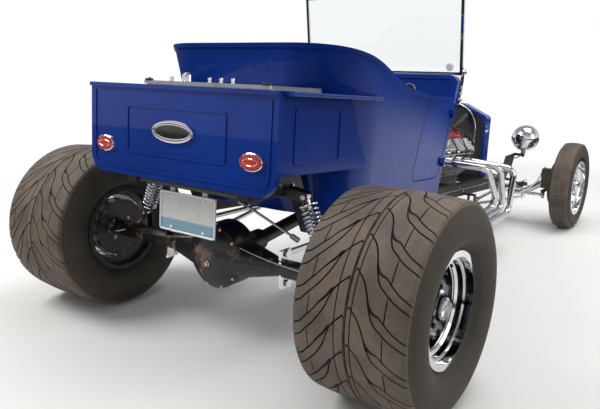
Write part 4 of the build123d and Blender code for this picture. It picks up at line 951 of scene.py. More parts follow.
@dataclass
class Tyre:
    """A tyre whose tread lines follow its grooves, so that every groove has real walls."""

    side: Side
    node: str  # the CAD node it stands for
    body: str  # the wheel body that carries it
    centre: Spot  # x, y, z of the wheel's centre in the ground frame
    outer: float  # radius over the crown
    half: float  # half width of the flat tread
    face: float  # half width over the sidewalls
    bead: float  # half width at the rim flange
    pitches: int  # repeats of the tread round the tyre
    halves: tuple[TreadHalf, TreadHalf]  # groove paths towards -y and towards +y
    width: float = 2.9  # half width of the main grooves
    depth: float = 6.0  # depth of the grooves
    twist: float = 0.0  # degrees that the whole pattern is turned by
    crown_drop: float = 8.0  # how far the tread falls from its middle to its edge
    shoulder: float = 15.0  # radius between tread and wall
    rim_r: float = 211.0  # radius where the wall meets the flange
    seat_r: float = 190.8  # radius of the bead's seat
    edge_share: float = 1.12  # share of the half width where the shoulder ends
    bevel: float = 0.8  # width of a groove's sloped wall
    land: int = 3  # grid steps between grooves
    columns: int = 44  # grid columns on one half

    def shares(self, half: TreadHalf) -> Points:
        """Where the grid has columns, with the round grooves' edges among them.

        Args:
            half: the groove paths.

        Returns:
            Shares of the half width, rising.
        """
        base = np.linspace(0, self.edge_share, self.columns)
        w, b = (self.width - 0.6) / self.half, self.bevel / self.half
        special = []
        for middle in (half.ring, half.link):
            base = base[abs(base - middle) > w * 1.6]
            special += [middle - w, middle - w + b, middle, middle + w - b, middle + w]
        return np.sort(np.r_[base, special])

    def band(self, shares: Points, middle: float) -> Points:
        """1 inside a groove that runs round the tyre at a share, 0 outside its edges."""
        w = (self.width - 0.6) / self.half
        return (abs(shares - middle) < w * 0.9).astype(float)

    def lines(self, half: TreadHalf, shares: Points) -> tuple[Points, Points]:
        """Grid lines of one pitch and how deep each runs.

        A line's angle is the main path's plus an offset.  The offset of a groove's wall is its half width
        divided by the radius, widened by the slope of the path so that the groove keeps its width across
        its own run.

        Args:
            half: the groove paths.
            shares: the columns.

        Returns:
            Angles in degrees and depths from 0 to 1, each of (lines, columns).
        """
        pitch = 360 / self.pitches
        main = smooth_path(half.main, shares)
        ahead = smooth_path(half.tine, shares)
        slope = np.gradient(np.radians(main), shares) * self.outer / self.half
        lean = np.sqrt(1 + slope**2)
        wall = np.degrees(self.width / self.outer) * lean
        wall = np.minimum(wall, pitch * 0.16)
        cut = np.degrees(self.bevel / self.outer) * lean
        eps = 0.02
        middle = ahead / 2
        apart = (ahead > 2 * wall).astype(float)
        started = (shares > 0.035).astype(float)
        low_wall = np.minimum(wall, middle - eps)
        high_wall = np.maximum(ahead - wall, middle + eps)
        rows = [(-wall, 0 * wall), (-wall + cut, 1 + 0 * wall),
                (np.minimum(wall - cut, low_wall - eps), 1 + 0 * wall), (low_wall, 1 - apart)]
        rows += [(low_wall + (high_wall - low_wall) * k / self.land, 1 - apart) for k in range(1, self.land)]
        rows += [(high_wall, 1 - apart), (np.maximum(ahead - wall + cut, high_wall + eps), 1 + 0 * wall),
                 (ahead + wall - cut, 1 + 0 * wall), (ahead + wall, 0 * wall)]
        far = pitch - wall
        near = ahead + wall
        rows += [(near + (far - near) * k / (self.land + 1), 0 * wall) for k in range(1, self.land + 1)]
        angles = np.array([r[0] for r in rows]) + main
        depths = np.array([r[1] for r in rows]) * started
        linking = np.zeros(len(rows))
        linking[-self.land - 1:] = 1
        depths = np.maximum(depths, self.band(shares, half.link)[None, :] * linking[:, None])
        return angles, np.maximum(depths, self.band(shares, half.ring)[None, :])

    def tread(self, half: TreadHalf, sign: int) -> tuple[Points, Points]:
        """One half of the tread with its grooves.

        A point lies at radius r(s) and width y(s) on the crown's arc up to s = 1 and on a quarter circle
        beyond, and is moved inwards along the surface's normal by the groove's depth.

        Args:
            half: the groove paths.
            sign: -1 for the half towards -y, 1 for the other.

        Returns:
            Points of (lines round, columns, 3) and their groove values.
        """
        shares = self.shares(half)
        angles, depths = self.lines(half, shares)
        pitch = 360 / self.pitches
        count = len(angles)
        even = np.arange(count)[:, None] * pitch / count
        inwards = np.clip(shares / 0.03, 0, 1) ** 0.7
        angles = even + (angles + half.start - even) * inwards
        steps = np.arange(self.pitches)[:, None, None] * pitch
        angles = (angles[None] + steps).reshape(-1, len(shares)) + self.twist
        depths = np.tile(depths, (self.pitches, 1))
        bend = np.clip((shares - 1) / (self.edge_share - 1), 0, 1) * math.pi / 2
        flat = np.minimum(shares, 1) * self.half
        arc = (self.half**2 + self.crown_drop**2) / (2 * self.crown_drop)
        width = flat + self.shoulder * np.sin(bend)
        radius = self.outer - arc + np.sqrt(arc**2 - flat**2) - self.shoulder * (1 - np.cos(bend))
        fade = np.clip((self.edge_share - shares) / 0.09, 0, 1) * self.depth
        across = np.sin(np.maximum(bend, flat / arc))
        down = np.cos(np.maximum(bend, flat / arc))
        radius = radius[None, :] - depths * (fade * down)[None, :]
        width = width[None, :] - depths * (fade * across)[None, :]
        return self.spun(angles, radius, width * sign), depths * (fade / self.depth)[None, :]

    def spun(self, angles: Points, radius: Points, width: Points) -> Points:
        """Points round the wheel.

        Args:
            angles: degrees from straight back towards the top.
            radius: distance from the axle.
            width: distance from the wheel's middle plane.

        Returns:
            The angles' array with x, y and z added as the last axis.
        """
        turn = np.radians(angles)
        x, y, z = self.centre
        width = np.broadcast_to(width, angles.shape)
        radius = np.broadcast_to(radius, angles.shape)
        return np.stack([x - radius * np.cos(turn), y + width, z + radius * np.sin(turn)], axis=-1)

    def sidewall(self) -> Points:
        """The flank's outline from the tread's edge to the bead, with faint ribs round the wall.

        Returns:
            Pairs of (half width, radius).
        """
        top_r = self.outer - self.crown_drop - self.shoulder
        top_y = self.half + self.shoulder
        mid_r = self.rim_r + (self.outer - self.rim_r) * 0.42
        knots_y = ((0.0, top_y), (0.18, top_y + (self.face - top_y) * 0.62), (0.5, self.face),
                   (0.82, self.bead + (self.face - self.bead) * 0.62), (1.0, self.bead + 3))
        share = np.linspace(0.03, 1, 34)
        y = smooth_path(knots_y, share)
        knots_r = ((0.0, 0.0), (0.5, (top_r - mid_r) / (top_r - self.rim_r)), (1.0, 1.0))
        r = top_r + (self.rim_r - top_r) * smooth_path(knots_r, share)
        ribs = 0.9 * (np.sin(share * 92) > 0.55) * (abs(share - 0.2) < 0.08)
        ribs = ribs + 1.3 * (abs(share - 0.86) < 0.03)
        return np.stack([y + ribs, r], axis=1)

    def build(self) -> bpy.types.Object:
        """Makes the tyre and lets it stand for its CAD node.

        Returns:
            The tyre.
        """
        low, low_mark = self.tread(self.halves[0], -1)
        high, high_mark = self.tread(self.halves[1], 1)
        wall = self.sidewall()
        inside = np.array([(self.bead, self.rim_r - 1.5), (self.bead - 1, self.seat_r + 2),
                           (self.bead - 6, self.seat_r)])
        wall = np.vstack([wall, inside])
        parts = []
        marks = []
        for tread, mark, sign in ((low, low_mark, -1), (high, high_mark, 1)):
            edge = tread[:, -1]
            turn = np.degrees(np.arctan2(edge[:, 2] - self.centre[2], self.centre[0] - edge[:, 0]))
            angles = np.repeat(turn[:, None], len(wall), axis=1)
            flank = self.spun(angles, wall[None, :, 1], wall[None, :, 0] * sign)
            parts.append(np.concatenate([tread, flank], axis=1))
            marks.append(np.concatenate([mark, np.zeros(flank.shape[:2])], axis=1))
        rows = np.concatenate([parts[0][:, ::-1], parts[1][:, 1:]], axis=1)
        mark = np.concatenate([marks[0][:, ::-1], marks[1][:, 1:]], axis=1)
        mesh = MeshParts(f"{self.node}_dressed", Frame.GROUND).grid(rows, wrap_u=True, wrap_v=True, mark=mark)
        column = np.arange(rows.shape[1])
        flank = (column < len(wall)) | (column >= rows.shape[1] - len(wall) - 1)
        mesh.slots = np.tile(flank.astype(int), len(rows)).tolist()
        piece = mesh.build(self.body, "tyre_rubber", [RUBBER, SIDEWALL])
        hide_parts(self.node)
        return piece


def rear_tyre(side: Side) -> Tyre:
    """The wide rear tyre of one side.

    Args:
        side: the car's side.

    Returns:
        The tyre, not built yet.
    """
    twist = 0.0 if side is Side.RIGHT else 2.1
    return Tyre(side, f"rear_tyre_{side.word}", f"rear_wheel_{side.word}", (0.0, side.value * REAR_Y, AXLE_Z),
                outer=AXLE_Z, half=192.0, face=231.0, bead=183.2, pitches=20, halves=(OUTER_HALF, INNER_HALF),
                twist=twist)


def front_tyre(side: Side) -> Tyre:
    """The narrow front tyre of one side.

    Args:
        side: the car's side.

    Returns:
        The tyre, not built yet.
    """
    return Tyre(side, f"front_tyre_{side.word}", f"front_wheel_{side.word}",
                (WHEELBASE, side.value * FRONT_Y, FRONT_R), outer=FRONT_R, half=50.0, face=73.0, bead=54.0,
                pitches=60, halves=(FRONT_HALF, FRONT_HALF), columns=14, width=1.3, depth=4.5, crown_drop=5.0,
                shoulder=9.0, bevel=0.4, land=2)


@dataclass
class CoilOver:
    """A damper with its coil spring, which is a round wire carried round the damper's line."""

    side: Side
    low: Spot = (10.0, 505.0, 490.0)  # lower eye, in the ground frame of the left side
    top: Spot = (18.0, 418.0, 690.0)  # upper eye
    turns: float = 8.0  # turns of the spring
    coil_r: float = 31.0  # radius of the spring's middle line
    wire_r: float = 5.4  # radius of the wire
    seat_in: float = 36.0  # how far the spring's seat is from the eye

    def build(self) -> list[bpy.types.Object]:
        """Makes the spring and the damper and lets them stand for the CAD node.

        Returns:
            The spring and the damper.
        """
        s = self.side.value
        low = np.array((self.low[0], s * self.low[1], self.low[2]))
        top = np.array((self.top[0], s * self.top[1], self.top[2]))
        u, v, w = basis(top - low)
        length = np.linalg.norm(top - low)
        start, end = self.seat_in + 8, length - self.seat_in - 6
        t = np.linspace(0, 1, int(self.turns * 28))
        rise = start + (end - start) * (t + 0.02 * np.sin(math.tau * t))
        turn = math.tau * self.turns * t
        round_it = np.cos(turn)[:, None] * u + np.sin(turn)[:, None] * v
        helix = low + rise[:, None] * w + self.coil_r * round_it
        name = f"coil_spring_{self.side.word}"
        spring = MeshParts(name, Frame.GROUND).pipe(helix, self.wire_r, 10, up=tuple(w))
        spring = spring.build("chassis", "coil_steel", [COIL])
        damper = MeshParts(f"damper_{self.side.word}", Frame.GROUND)
        seat = self.seat_in
        body = [(0, 14), (13, 14), (17, 22), (19, 30), (19, seat), (37, seat + 1), (37, seat + 6),
                (19, seat + 7), (19, length * 0.55), (15, length * 0.56), (0, length * 0.56)]
        damper.turned(body, low, w, 40)
        collar = [(19.2, 44), (24, 44.5), (24, 52), (19.2, 52.5)]
        damper.ring(collar, low, w, 24)
        rod = [(0, length * 0.5), (8, length * 0.5), (8, length - 40), (35, length - 40), (37, length - 37),
               (37, length - 33), (24, length - 29), (12, length - 24), (12, length - 14), (0, length - 14)]
        damper.turned(rod, low, w, 40)
        for spot in (low, top):
            eye = [(0, -14.9), (10, -14.9), (14.8, -12), (14.8, 12), (10, 14.9), (0, 14.9)]
            damper.turned(eye, spot, FORE, 32)
            damper.bolt(spot - np.array((22.0, 0, 0)), AFT, 8.5)
        damper = damper.build("chassis", "chrome", [CHROME])
        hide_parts(f"coil_over_{self.side.word}")
        return [spring, damper]


# Tail: gate, badge, lamps and plate


@dataclass
class Tail:
    """Trim on the tailgate and the plate below it, in the chassis frame."""

    gate_x: float = -306.0  # the gate's outer face
    badge_z: float = 524.5  # height of the badge's middle
    badge: Pair = (111.5, 42.5)  # half width and half height of the badge
    badge_t: float = 8.0  # how far it stands off the gate
    lamp_y: float = 396.0  # distance of a lamp from the middle
    lamp_z: float = 451.0  # height of the lamps
    lamp: Pair = (53.0, 33.0)  # half width and half height of a lamp
    lamp_t: float = 16.0  # how far its lens stands off
    plate_x: float = -226.0  # face of the plate
    plate_low: float = 118.0  # height of its foot
    plate: Pair = (310.0, 160.0)  # its width and height

    def build_badge(self) -> None:
        """Blank oval badge: a dark field under a bright double rim."""
        x = self.gate_x - self.badge_t
        centre = (x, 0.0, self.badge_z)
        rim = [(-9.0, 0.0), (-9.0, 2.0), (-5.0, 3.4), (-1.0, 2.0), (0.2, 0.0), (0.2, -7.0), (-4.0, -7.0)]
        part = MeshParts("badge_rim").grid(oval_ring(centre, self.badge, rim), True, True)
        inner = [(-17.0, 0.0), (-17.0, 1.4), (-14.5, 2.2), (-12.0, 1.4), (-12.0, 0.0)]
        part.grid(oval_ring(centre, self.badge, inner), True, True)
        part.build("chassis", "chrome", [CHROME])
        turn = full_turn(72)
        share = np.array([0.0, 0.4, 0.7, 0.93, 0.93])
        proud = np.array([1.9, 1.6, 1.2, 0.8, -0.5])
        y = share[None, :] * self.badge[0] * np.cos(turn)[:, None]
        z = share[None, :] * self.badge[1] * np.sin(turn)[:, None]
        grid = np.array(centre) + np.stack([-np.broadcast_to(proud, y.shape), y, z], axis=-1)
        MeshParts("badge_field").grid(grid, True).build("chassis", "body_paint", [BADGE])

    def build_lamps(self) -> None:
        """Bright bezels round the two oval lamps, and a raised ring on each lens."""
        part = MeshParts("lamp_bezels")
        for side in Side:
            centre = (self.gate_x, side.value * self.lamp_y, self.lamp_z)
            rim = [(-5.0, 0.2), (-6.0, 9.0), (-3.5, 12.0), (-0.5, 10.0), (0.6, 5.0), (0.8, 0.2)]
            part.grid(oval_ring(centre, self.lamp, rim), True, True)
            ring = [(-22.0, self.lamp_t), (-20.5, self.lamp_t + 1.4), (-19.0, self.lamp_t)]
            part.grid(oval_ring(centre, self.lamp, ring), True, True)
        part.build("chassis", "chrome", [CHROME])

    def build_plate(self) -> None:
        """White frame round the blank plate, its pressed border and four screws."""
        half_w, half_h = self.plate[0] / 2, self.plate[1] / 2
        middle = self.plate_low + half_h
        part = MeshParts("plate_frame")
        for width, proud, out in ((7.0, 4.5, 1.0), (3.0, 1.6, -12.0)):
            corners = 14.0
            turn = full_turn(64)
            sign_y = np.where(np.cos(turn) >= 0, 1, -1)
            sign_z = np.where(np.sin(turn) >= 0, 1, -1)
            rows = []
            for off, lift in ((0.0, 0.0), (0.0, proud * 0.7), (-width * 0.3, proud), (-width * 0.7, proud),
                              (-width, proud * 0.7), (-width, 0.0)):
                y = sign_y * (half_w + out - corners) + np.cos(turn) * (corners + off)
                z = sign_z * (half_h + out - corners) + np.sin(turn) * (corners + off)
                rows.append(np.stack([np.full_like(y, self.plate_x - lift), y, middle + z], axis=-1))
            part.grid(np.array(rows), True, True, slot=0 if proud > 2 else 1)
        for y in (-1, 1):
            for z in (-1, 1):
                spot = (self.plate_x, y * half_w * 0.58, middle + z * (half_h - 16))
                part.turned([(0, 0), (7, 0), (6, 2.2), (2.6, 3.4), (0, 3.6)], spot, AFT, 20)
        part.build("chassis", "chrome", [WHITE, PLATE])

    def build(self) -> None:
        """Makes the tail's trim."""
        self.build_badge()
        self.build_lamps()
        self.build_plate()


# Rear axle, dampers' lines and the tank's fittings


@dataclass
class RearEnd:
    """Bolts, lines and joints of the rear axle, drawn in the ground frame."""

    cover_r: float = 128.0  # radius of the bolt ring on the axle's cover
    cover_x: float = -66.0  # how far behind the axle the ring lies
    cover_bolts: int = 10  # bolts in the ring
    drum_y: float = 689.0  # where the brake backing faces the middle

    def bolts(self) -> None:
        """Ring of bolts round the axle cover, and bolts round each brake backing."""
        part = MeshParts("axle_bolts", Frame.GROUND)
        for turn in np.arange(self.cover_bolts) * math.tau / self.cover_bolts:
            spot = (self.cover_x + 4, self.cover_r * math.cos(turn), AXLE_Z + self.cover_r * math.sin(turn))
            part.bolt(spot, AFT, 8.0)
        part.turned([(0, -4), (13, -4), (13, 2), (9, 5), (9, 10), (0, 10)], (-104, 0, AXLE_Z - 20),
                    AFT, 8)
        for side in Side:
            for turn in np.radians((45, 135, 225, 315)):
                spot = (58 * math.cos(turn), side.value * self.drum_y, AXLE_Z + 58 * math.sin(turn))
                part.bolt(spot, (0, -side.value, 0), 7.5)
        part.build("chassis", "chassis_black", [STEEL])

    def lines(self) -> None:
        """Hard brake lines along the axle tubes, each with a bow up to its damper, and the cross brace."""
        part = MeshParts("rear_brake_lines", Frame.GROUND)
        for side in Side:
            s = side.value
            along = [(-48, s * 120, AXLE_Z + 62), (-52, s * 200, AXLE_Z + 50), (-46, s * 330, AXLE_Z + 30),
                     (-44, s * 480, AXLE_Z + 24), (-30, s * 560, AXLE_Z + 30), (-36, s * 640, AXLE_Z + 52),
                     (-30, s * 688, AXLE_Z + 60)]
            part.pipe(curve_through(along, 60), 3.2, 8)
            bow = [(-78, s * 688, AXLE_Z - 2), (-64, s * 655, AXLE_Z), (-36, s * 620, AXLE_Z + 8),
                   (-4, s * 592, AXLE_Z + 26), (14, s * 570, AXLE_Z + 46), (28, s * 550, AXLE_Z + 74),
                   (30, s * 538, AXLE_Z + 96)]
            part.pipe(curve_through(bow, 60), 4.0, 10)
            part.turned([(0, -2), (8, -2), (8, 10), (0, 10)], bow[0], (0, -s, 0), 6)
        part.block((-60, 0, AXLE_Z + 142), (22, 30, 16), 3)
        top, foot = np.array((-58.0, -150.0, 646.0)), np.array((2.0, -390.0, 515.0))
        part.pipe(np.linspace(top, foot, 8), 5.5, 12)
        part.turned([(0, -6), (10, -6), (10, 26), (6, 30), (0, 30)], top, foot - top, 6)
        part.turned([(0, -8), (11, -8), (11, 30), (6, 34), (0, 34)], foot, top - foot, 6)
        part.build("chassis", "chrome", [STEEL])

    def clamps(self) -> None:
        """Eye bolts where the links meet the axle brackets and the frame."""
        part = MeshParts("link_bolts", Frame.GROUND)
        for side in Side:
            for rise in (-62.0, 62.0):
                spot = (8, side.value * 337, AXLE_Z + rise)
                part.bolt(spot, (0, side.value, 0), 9.0)
                part.turned([(0, 0), (17, 0), (17, 4), (0, 4)], (8, side.value * 342, AXLE_Z + rise),
                            (0, side.value, 0), 24)
        part.build("chassis", "chrome", [CHROME])

    def build(self) -> None:
        """Makes the rear end's fittings."""
        self.bolts()
        self.lines()
        self.clamps()


@dataclass
class TankFittings:
    """Hold-down clips, vents and the filler cap on the tank's lid, in the chassis frame."""

    top: float = 714.0  # height of the lid
    clips: tuple[float, ...] = (164.0, -427.0)  # places of the clips along y
    vents: tuple[float, ...] = (131.0, -80.0, -140.0, -198.0)  # places of the vents along y
    filler: Pair = (-200.0, 41.0)  # x and y of the filler neck

    def build(self) -> None:
        """Makes the fittings."""
        part = MeshParts("tank_fittings")
        for y in self.vents:
            part.turned([(0, 0), (11, 0), (11, 3), (7, 4), (7, 11), (8.5, 12), (8.5, 18), (6, 20), (0, 20.5)],
                        (self.filler[0], y, self.top), UP, 12)
        x, y = self.filler
        cap = [(18.4, 2), (20, 4), (20, 26), (18.6, 29.5), (12, 31.5), (0, 32), (0, 30.2), (18.1, 30.2)]
        part.turned(cap, (x, y, self.top), UP, 40)
        part.block((x, y, self.top + 33), (30, 5, 6), 1.5)
        part.build("chassis", "polished_aluminium", [CHROME])
        clip = MeshParts("tank_clips")
        for y in self.clips:
            clip.block((-285, y, self.top + 3), (22, 26, 9), 2.5)
            clip.bolt((-282, y, self.top + 7), UP, 5.0)
        seam = np.linspace(-432, 191, 40)
        weld = np.stack([np.full_like(seam, 34.0), seam, self.top + 0.4 + 0.6 * np.sin(seam)], axis=1)
        clip.pipe(weld, 2.4, 6)
        clip.build("chassis", "chassis_black", [HOSE])


# Wheels' fittings


@dataclass
class WheelTrim:
    """Nuts, centre cap and valve of one wheel, drawn about its axle in the ground frame."""

    body: str  # the wheel body that carries it
    name: str
    side: Side
    centre: Spot  # x, y, z of the wheel's middle
    seat: float  # how far outwards from the middle the nuts stand
    nut_r: float  # radius of the nut circle
    cap: tuple[Pair, ...]  # the cap's profile as (radius, height over the seat)
    valve: Pair  # radius and outward place of the valve
    nuts: int = 5  # how many nuts there are
    nut: float = 11.0  # radius of a nut

    def build(self) -> None:
        """Makes the fittings."""
        s = self.side.value
        middle = np.array(self.centre, float)
        axis = np.array((0.0, s, 0.0))
        part = MeshParts(self.name, Frame.GROUND)
        part.turned(self.cap, middle + axis * self.seat, axis, 48)
        nut = [(0, -2), (self.nut, -2), (self.nut, 13), (self.nut * 0.8, 18), (0, 20)]
        for turn in np.arange(self.nuts) * math.tau / self.nuts:
            out = np.array((math.cos(turn), 0.0, math.sin(turn)))
            part.turned(nut, middle + axis * self.seat + out * self.nut_r, axis, 6)
        radius, out = self.valve
        foot = middle + np.array((radius * 0.6, s * out, radius * 0.8))
        lean = axis * 0.8 - np.array((0.36, 0.0, 0.48))
        part.turned([(0, -3), (5, -3), (5, 6), (3.4, 8), (3.4, 22), (4.4, 23), (4.4, 32), (0, 33)], foot,
                    lean, 12, 1)
        part.build(self.body, "chrome", [CHROME, HOSE])


def wheel_trims(side: Side) -> list[WheelTrim]:
    """Fittings of the two wheels of one side.

    Args:
        side: the car's side.

    Returns:
        Cap with valve, and nuts, of the rear wheel and then of the front wheel.
    """
    rear = ((0, 0), (44, 0), (47, 3), (47, 14), (43, 24), (34, 32), (20, 36), (0, 37))
    front = ((33, -28), (40, -28), (42, -20), (41, -4), (36, 4), (22, 9), (0, 10), (0, 8.5), (33, -6))
    # The nuts' piece has no cap of its own, only a speck on the axle.
    speck = ((0, -1), (1, -1), (1, 0), (0, 0))
    trims = []
    for end, centre, cap_and_valve, nuts in (
            ("rear", (0.0, side.value * REAR_Y, AXLE_Z),
             {"seat": 27.0, "cap": rear, "valve": (172.0, 118.0)},
             {"seat": -12.0, "nut_r": 66.0, "cap": speck, "valve": (60.0, -12.0)}),
            ("front", (WHEELBASE, side.value * FRONT_Y, FRONT_R),
             {"seat": 56.0, "cap": front, "valve": (150.0, 30.0)},
             {"seat": 22.0, "nut_r": 52.0, "cap": speck, "valve": (60.0, 12.0), "nut": 9.0})):
        body = f"{end}_wheel_{side.word}"
        trims.append(WheelTrim(body, f"{end}_wheel_trim_{side.word}", side, centre, nut_r=0.0, nuts=0,
                               **cap_and_valve))
        trims.append(WheelTrim(body, f"{end}_wheel_nuts_{side.word}", side, centre, **nuts))
    return trims


# Engine


@dataclass
class EngineTop:
    """Ribbed rocker covers, distributor with its leads and air cleaner, in the chassis frame."""

    cover_x: Pair = (1530.0, 2080.0)  # ends of the rocker covers
    seat: Pair = (222.0, 404.0)  # distance from the middle and height of a cover's foot
    cover_h: float = 52.0  # height of a cover
    ribs: int = 7  # ribs on a cover
    rib_pitch: float = 12.0  # distance between ribs
    plugs: tuple[float, ...] = (1715.0, 1865.0, 2015.0)  # places of the plugs along x
    distributor: Spot = (2140.0, -118.0, 350.0)  # its foot
    cleaner: Spot = (1820.0, 0.0, 505.0)  # foot of the air cleaner

    def plane(self, side: Side) -> tuple[Points, Points, Points]:
        """How a rocker cover lies.

        Args:
            side: the car's side.

        Returns:
            Base point, cross direction and outward direction.
        """
        half = math.sqrt(0.5)
        s = side.value
        return (np.array((0.0, s * self.seat[0], self.seat[1])), np.array((0.0, half, -s * half)),
                np.array((0.0, s * half, half)))

    def covers(self) -> None:
        """Cast ribs along each rocker cover, its bolts, and a breather or a filler cap."""
        part = MeshParts("rocker_ribs")
        x0, x1 = self.cover_x
        middle = (x0 + x1) / 2
        for side in Side:
            base, across, out = self.plane(side)
            turn = np.array([(1.0, 0.0, 0.0), across, out])
            for index in range(self.ribs):
                offset = (index - (self.ribs - 1) / 2) * self.rib_pitch
                spot = base + across * offset + out * (self.cover_h + 1.5) + np.array((middle, 0, 0))
                part.block(spot, (x1 - x0 - 70, 5.0, 9.0), 2.0, turn=turn)
            for x in (x0 + 18, x1 - 18):
                part.bolt(base + out * self.cover_h + np.array((x, 0, 0)), out, 8.0)
            edge = base + across * (side.value * 50) + out * 5
            part.block(edge + np.array((middle, 0, 0)), (x1 - x0 + 8, 12.0, 9.0), 3.0, turn=turn)
            along = x0 + 70 if side is Side.RIGHT else x1 - 70
            spot = base + out * (self.cover_h - 1) + np.array((along, 0, 0))
            cap = [(0, 0), (17, 0), (17, 10), (30, 13), (32, 18), (32, 40), (29, 45), (12, 48), (0, 48)]
            part.turned(cap, spot, out, 36)
        part.build("chassis", "chrome", [CHROME])

    def ignition(self) -> None:
        """Distributor with a red cap, towers and leads that run over the covers to the plugs."""
        x, y, z = self.distributor
        part = MeshParts("distributor")
        part.turned([(0, -5), (22, -5), (22, 60), (34, 66), (38, 72), (38, 100), (0, 100)], (x, y, z),
                    UP, 32)
        part.turned([(0, 98), (42, 98), (43, 104), (41, 128), (32, 140), (0, 142)], (x, y, z), UP, 40,
                    1)
        leads = MeshParts("plug_leads")
        count = 2 * len(self.plugs)
        for index in range(count):
            side = Side.RIGHT if index % 2 else Side.LEFT
            s = side.value
            plug = self.plugs[index // 2]
            turn = math.tau * index / count
            top = np.array((x + 26 * math.cos(turn), y + 26 * math.sin(turn), z + 138))
            part.turned([(0, 0), (7, 0), (6.5, 18), (0, 19)], top, UP, 12, 1)
            lane = 12.0 * (index // 2)
            path = [top + (0, 0, 14), top + (-8, s * 12, 30), (x - 50, s * (168 + lane / 2), z + 166),
                    ((x + plug) / 2, s * (225 + lane / 2), z + 150),
                    (plug + 24, s * (268 + lane / 3), z + 122), (plug, s * 312, z + 66),
                    (plug, s * 316, z + 26), (plug, s * 300, z), (plug, s * 284, z - 11)]
            leads.pipe(curve_through(path, 70), 4.0, 8)
            leads.turned([(0, -12), (8, -12), (8, 20), (6, 26), (0, 26)], (plug, s * 284, z - 11),
                         (0, s, 0.2), 14)
            leads.turned([(0, 0), (10, 0), (10, 8), (0, 8)], (plug, s * 271, z - 13), (0, s, 0.2), 6)
        part.build("chassis", "chrome", [CHROME, RED_CAP])
        leads.build("chassis", "chassis_black", [HOSE])

    def air(self) -> None:
        """Air cleaner: a pleated element between two bright lids, under a wing nut."""
        part = MeshParts("air_cleaner")
        lid = [(0, 0), (112, 0), (119, 3), (120, 8), (117, 11), (100, 14), (60, 17), (20, 18), (0, 18)]
        part.turned(lid, np.array(self.cleaner) + (0, 0, 50), UP, 72)
        part.turned([(0, -4), (117, -4), (120, 0), (118, 5), (0, 5)], self.cleaner, UP, 72)
        part.turned([(0, 66), (9, 66), (9, 76), (0, 78)], self.cleaner, UP, 16)
        part.block(np.array(self.cleaner) + (0, 0, 80), (34, 4, 12), 1.8)
        turn = full_turn(144)
        reach = 112.5 + 2.6 * np.sign(np.sin(36 * turn))
        wall = np.stack([np.stack([reach * np.cos(turn), reach * np.sin(turn), np.full_like(turn, h)], -1)
                         for h in (4.0, 51.0)], axis=1) + np.array(self.cleaner)
        part.grid(wall, wrap_u=True, slot=1)
        part.build("chassis", "chrome", [CHROME, PLEAT])

    def build(self) -> None:
        """Makes the top of the engine."""
        self.covers()
        self.ignition()
        self.air()


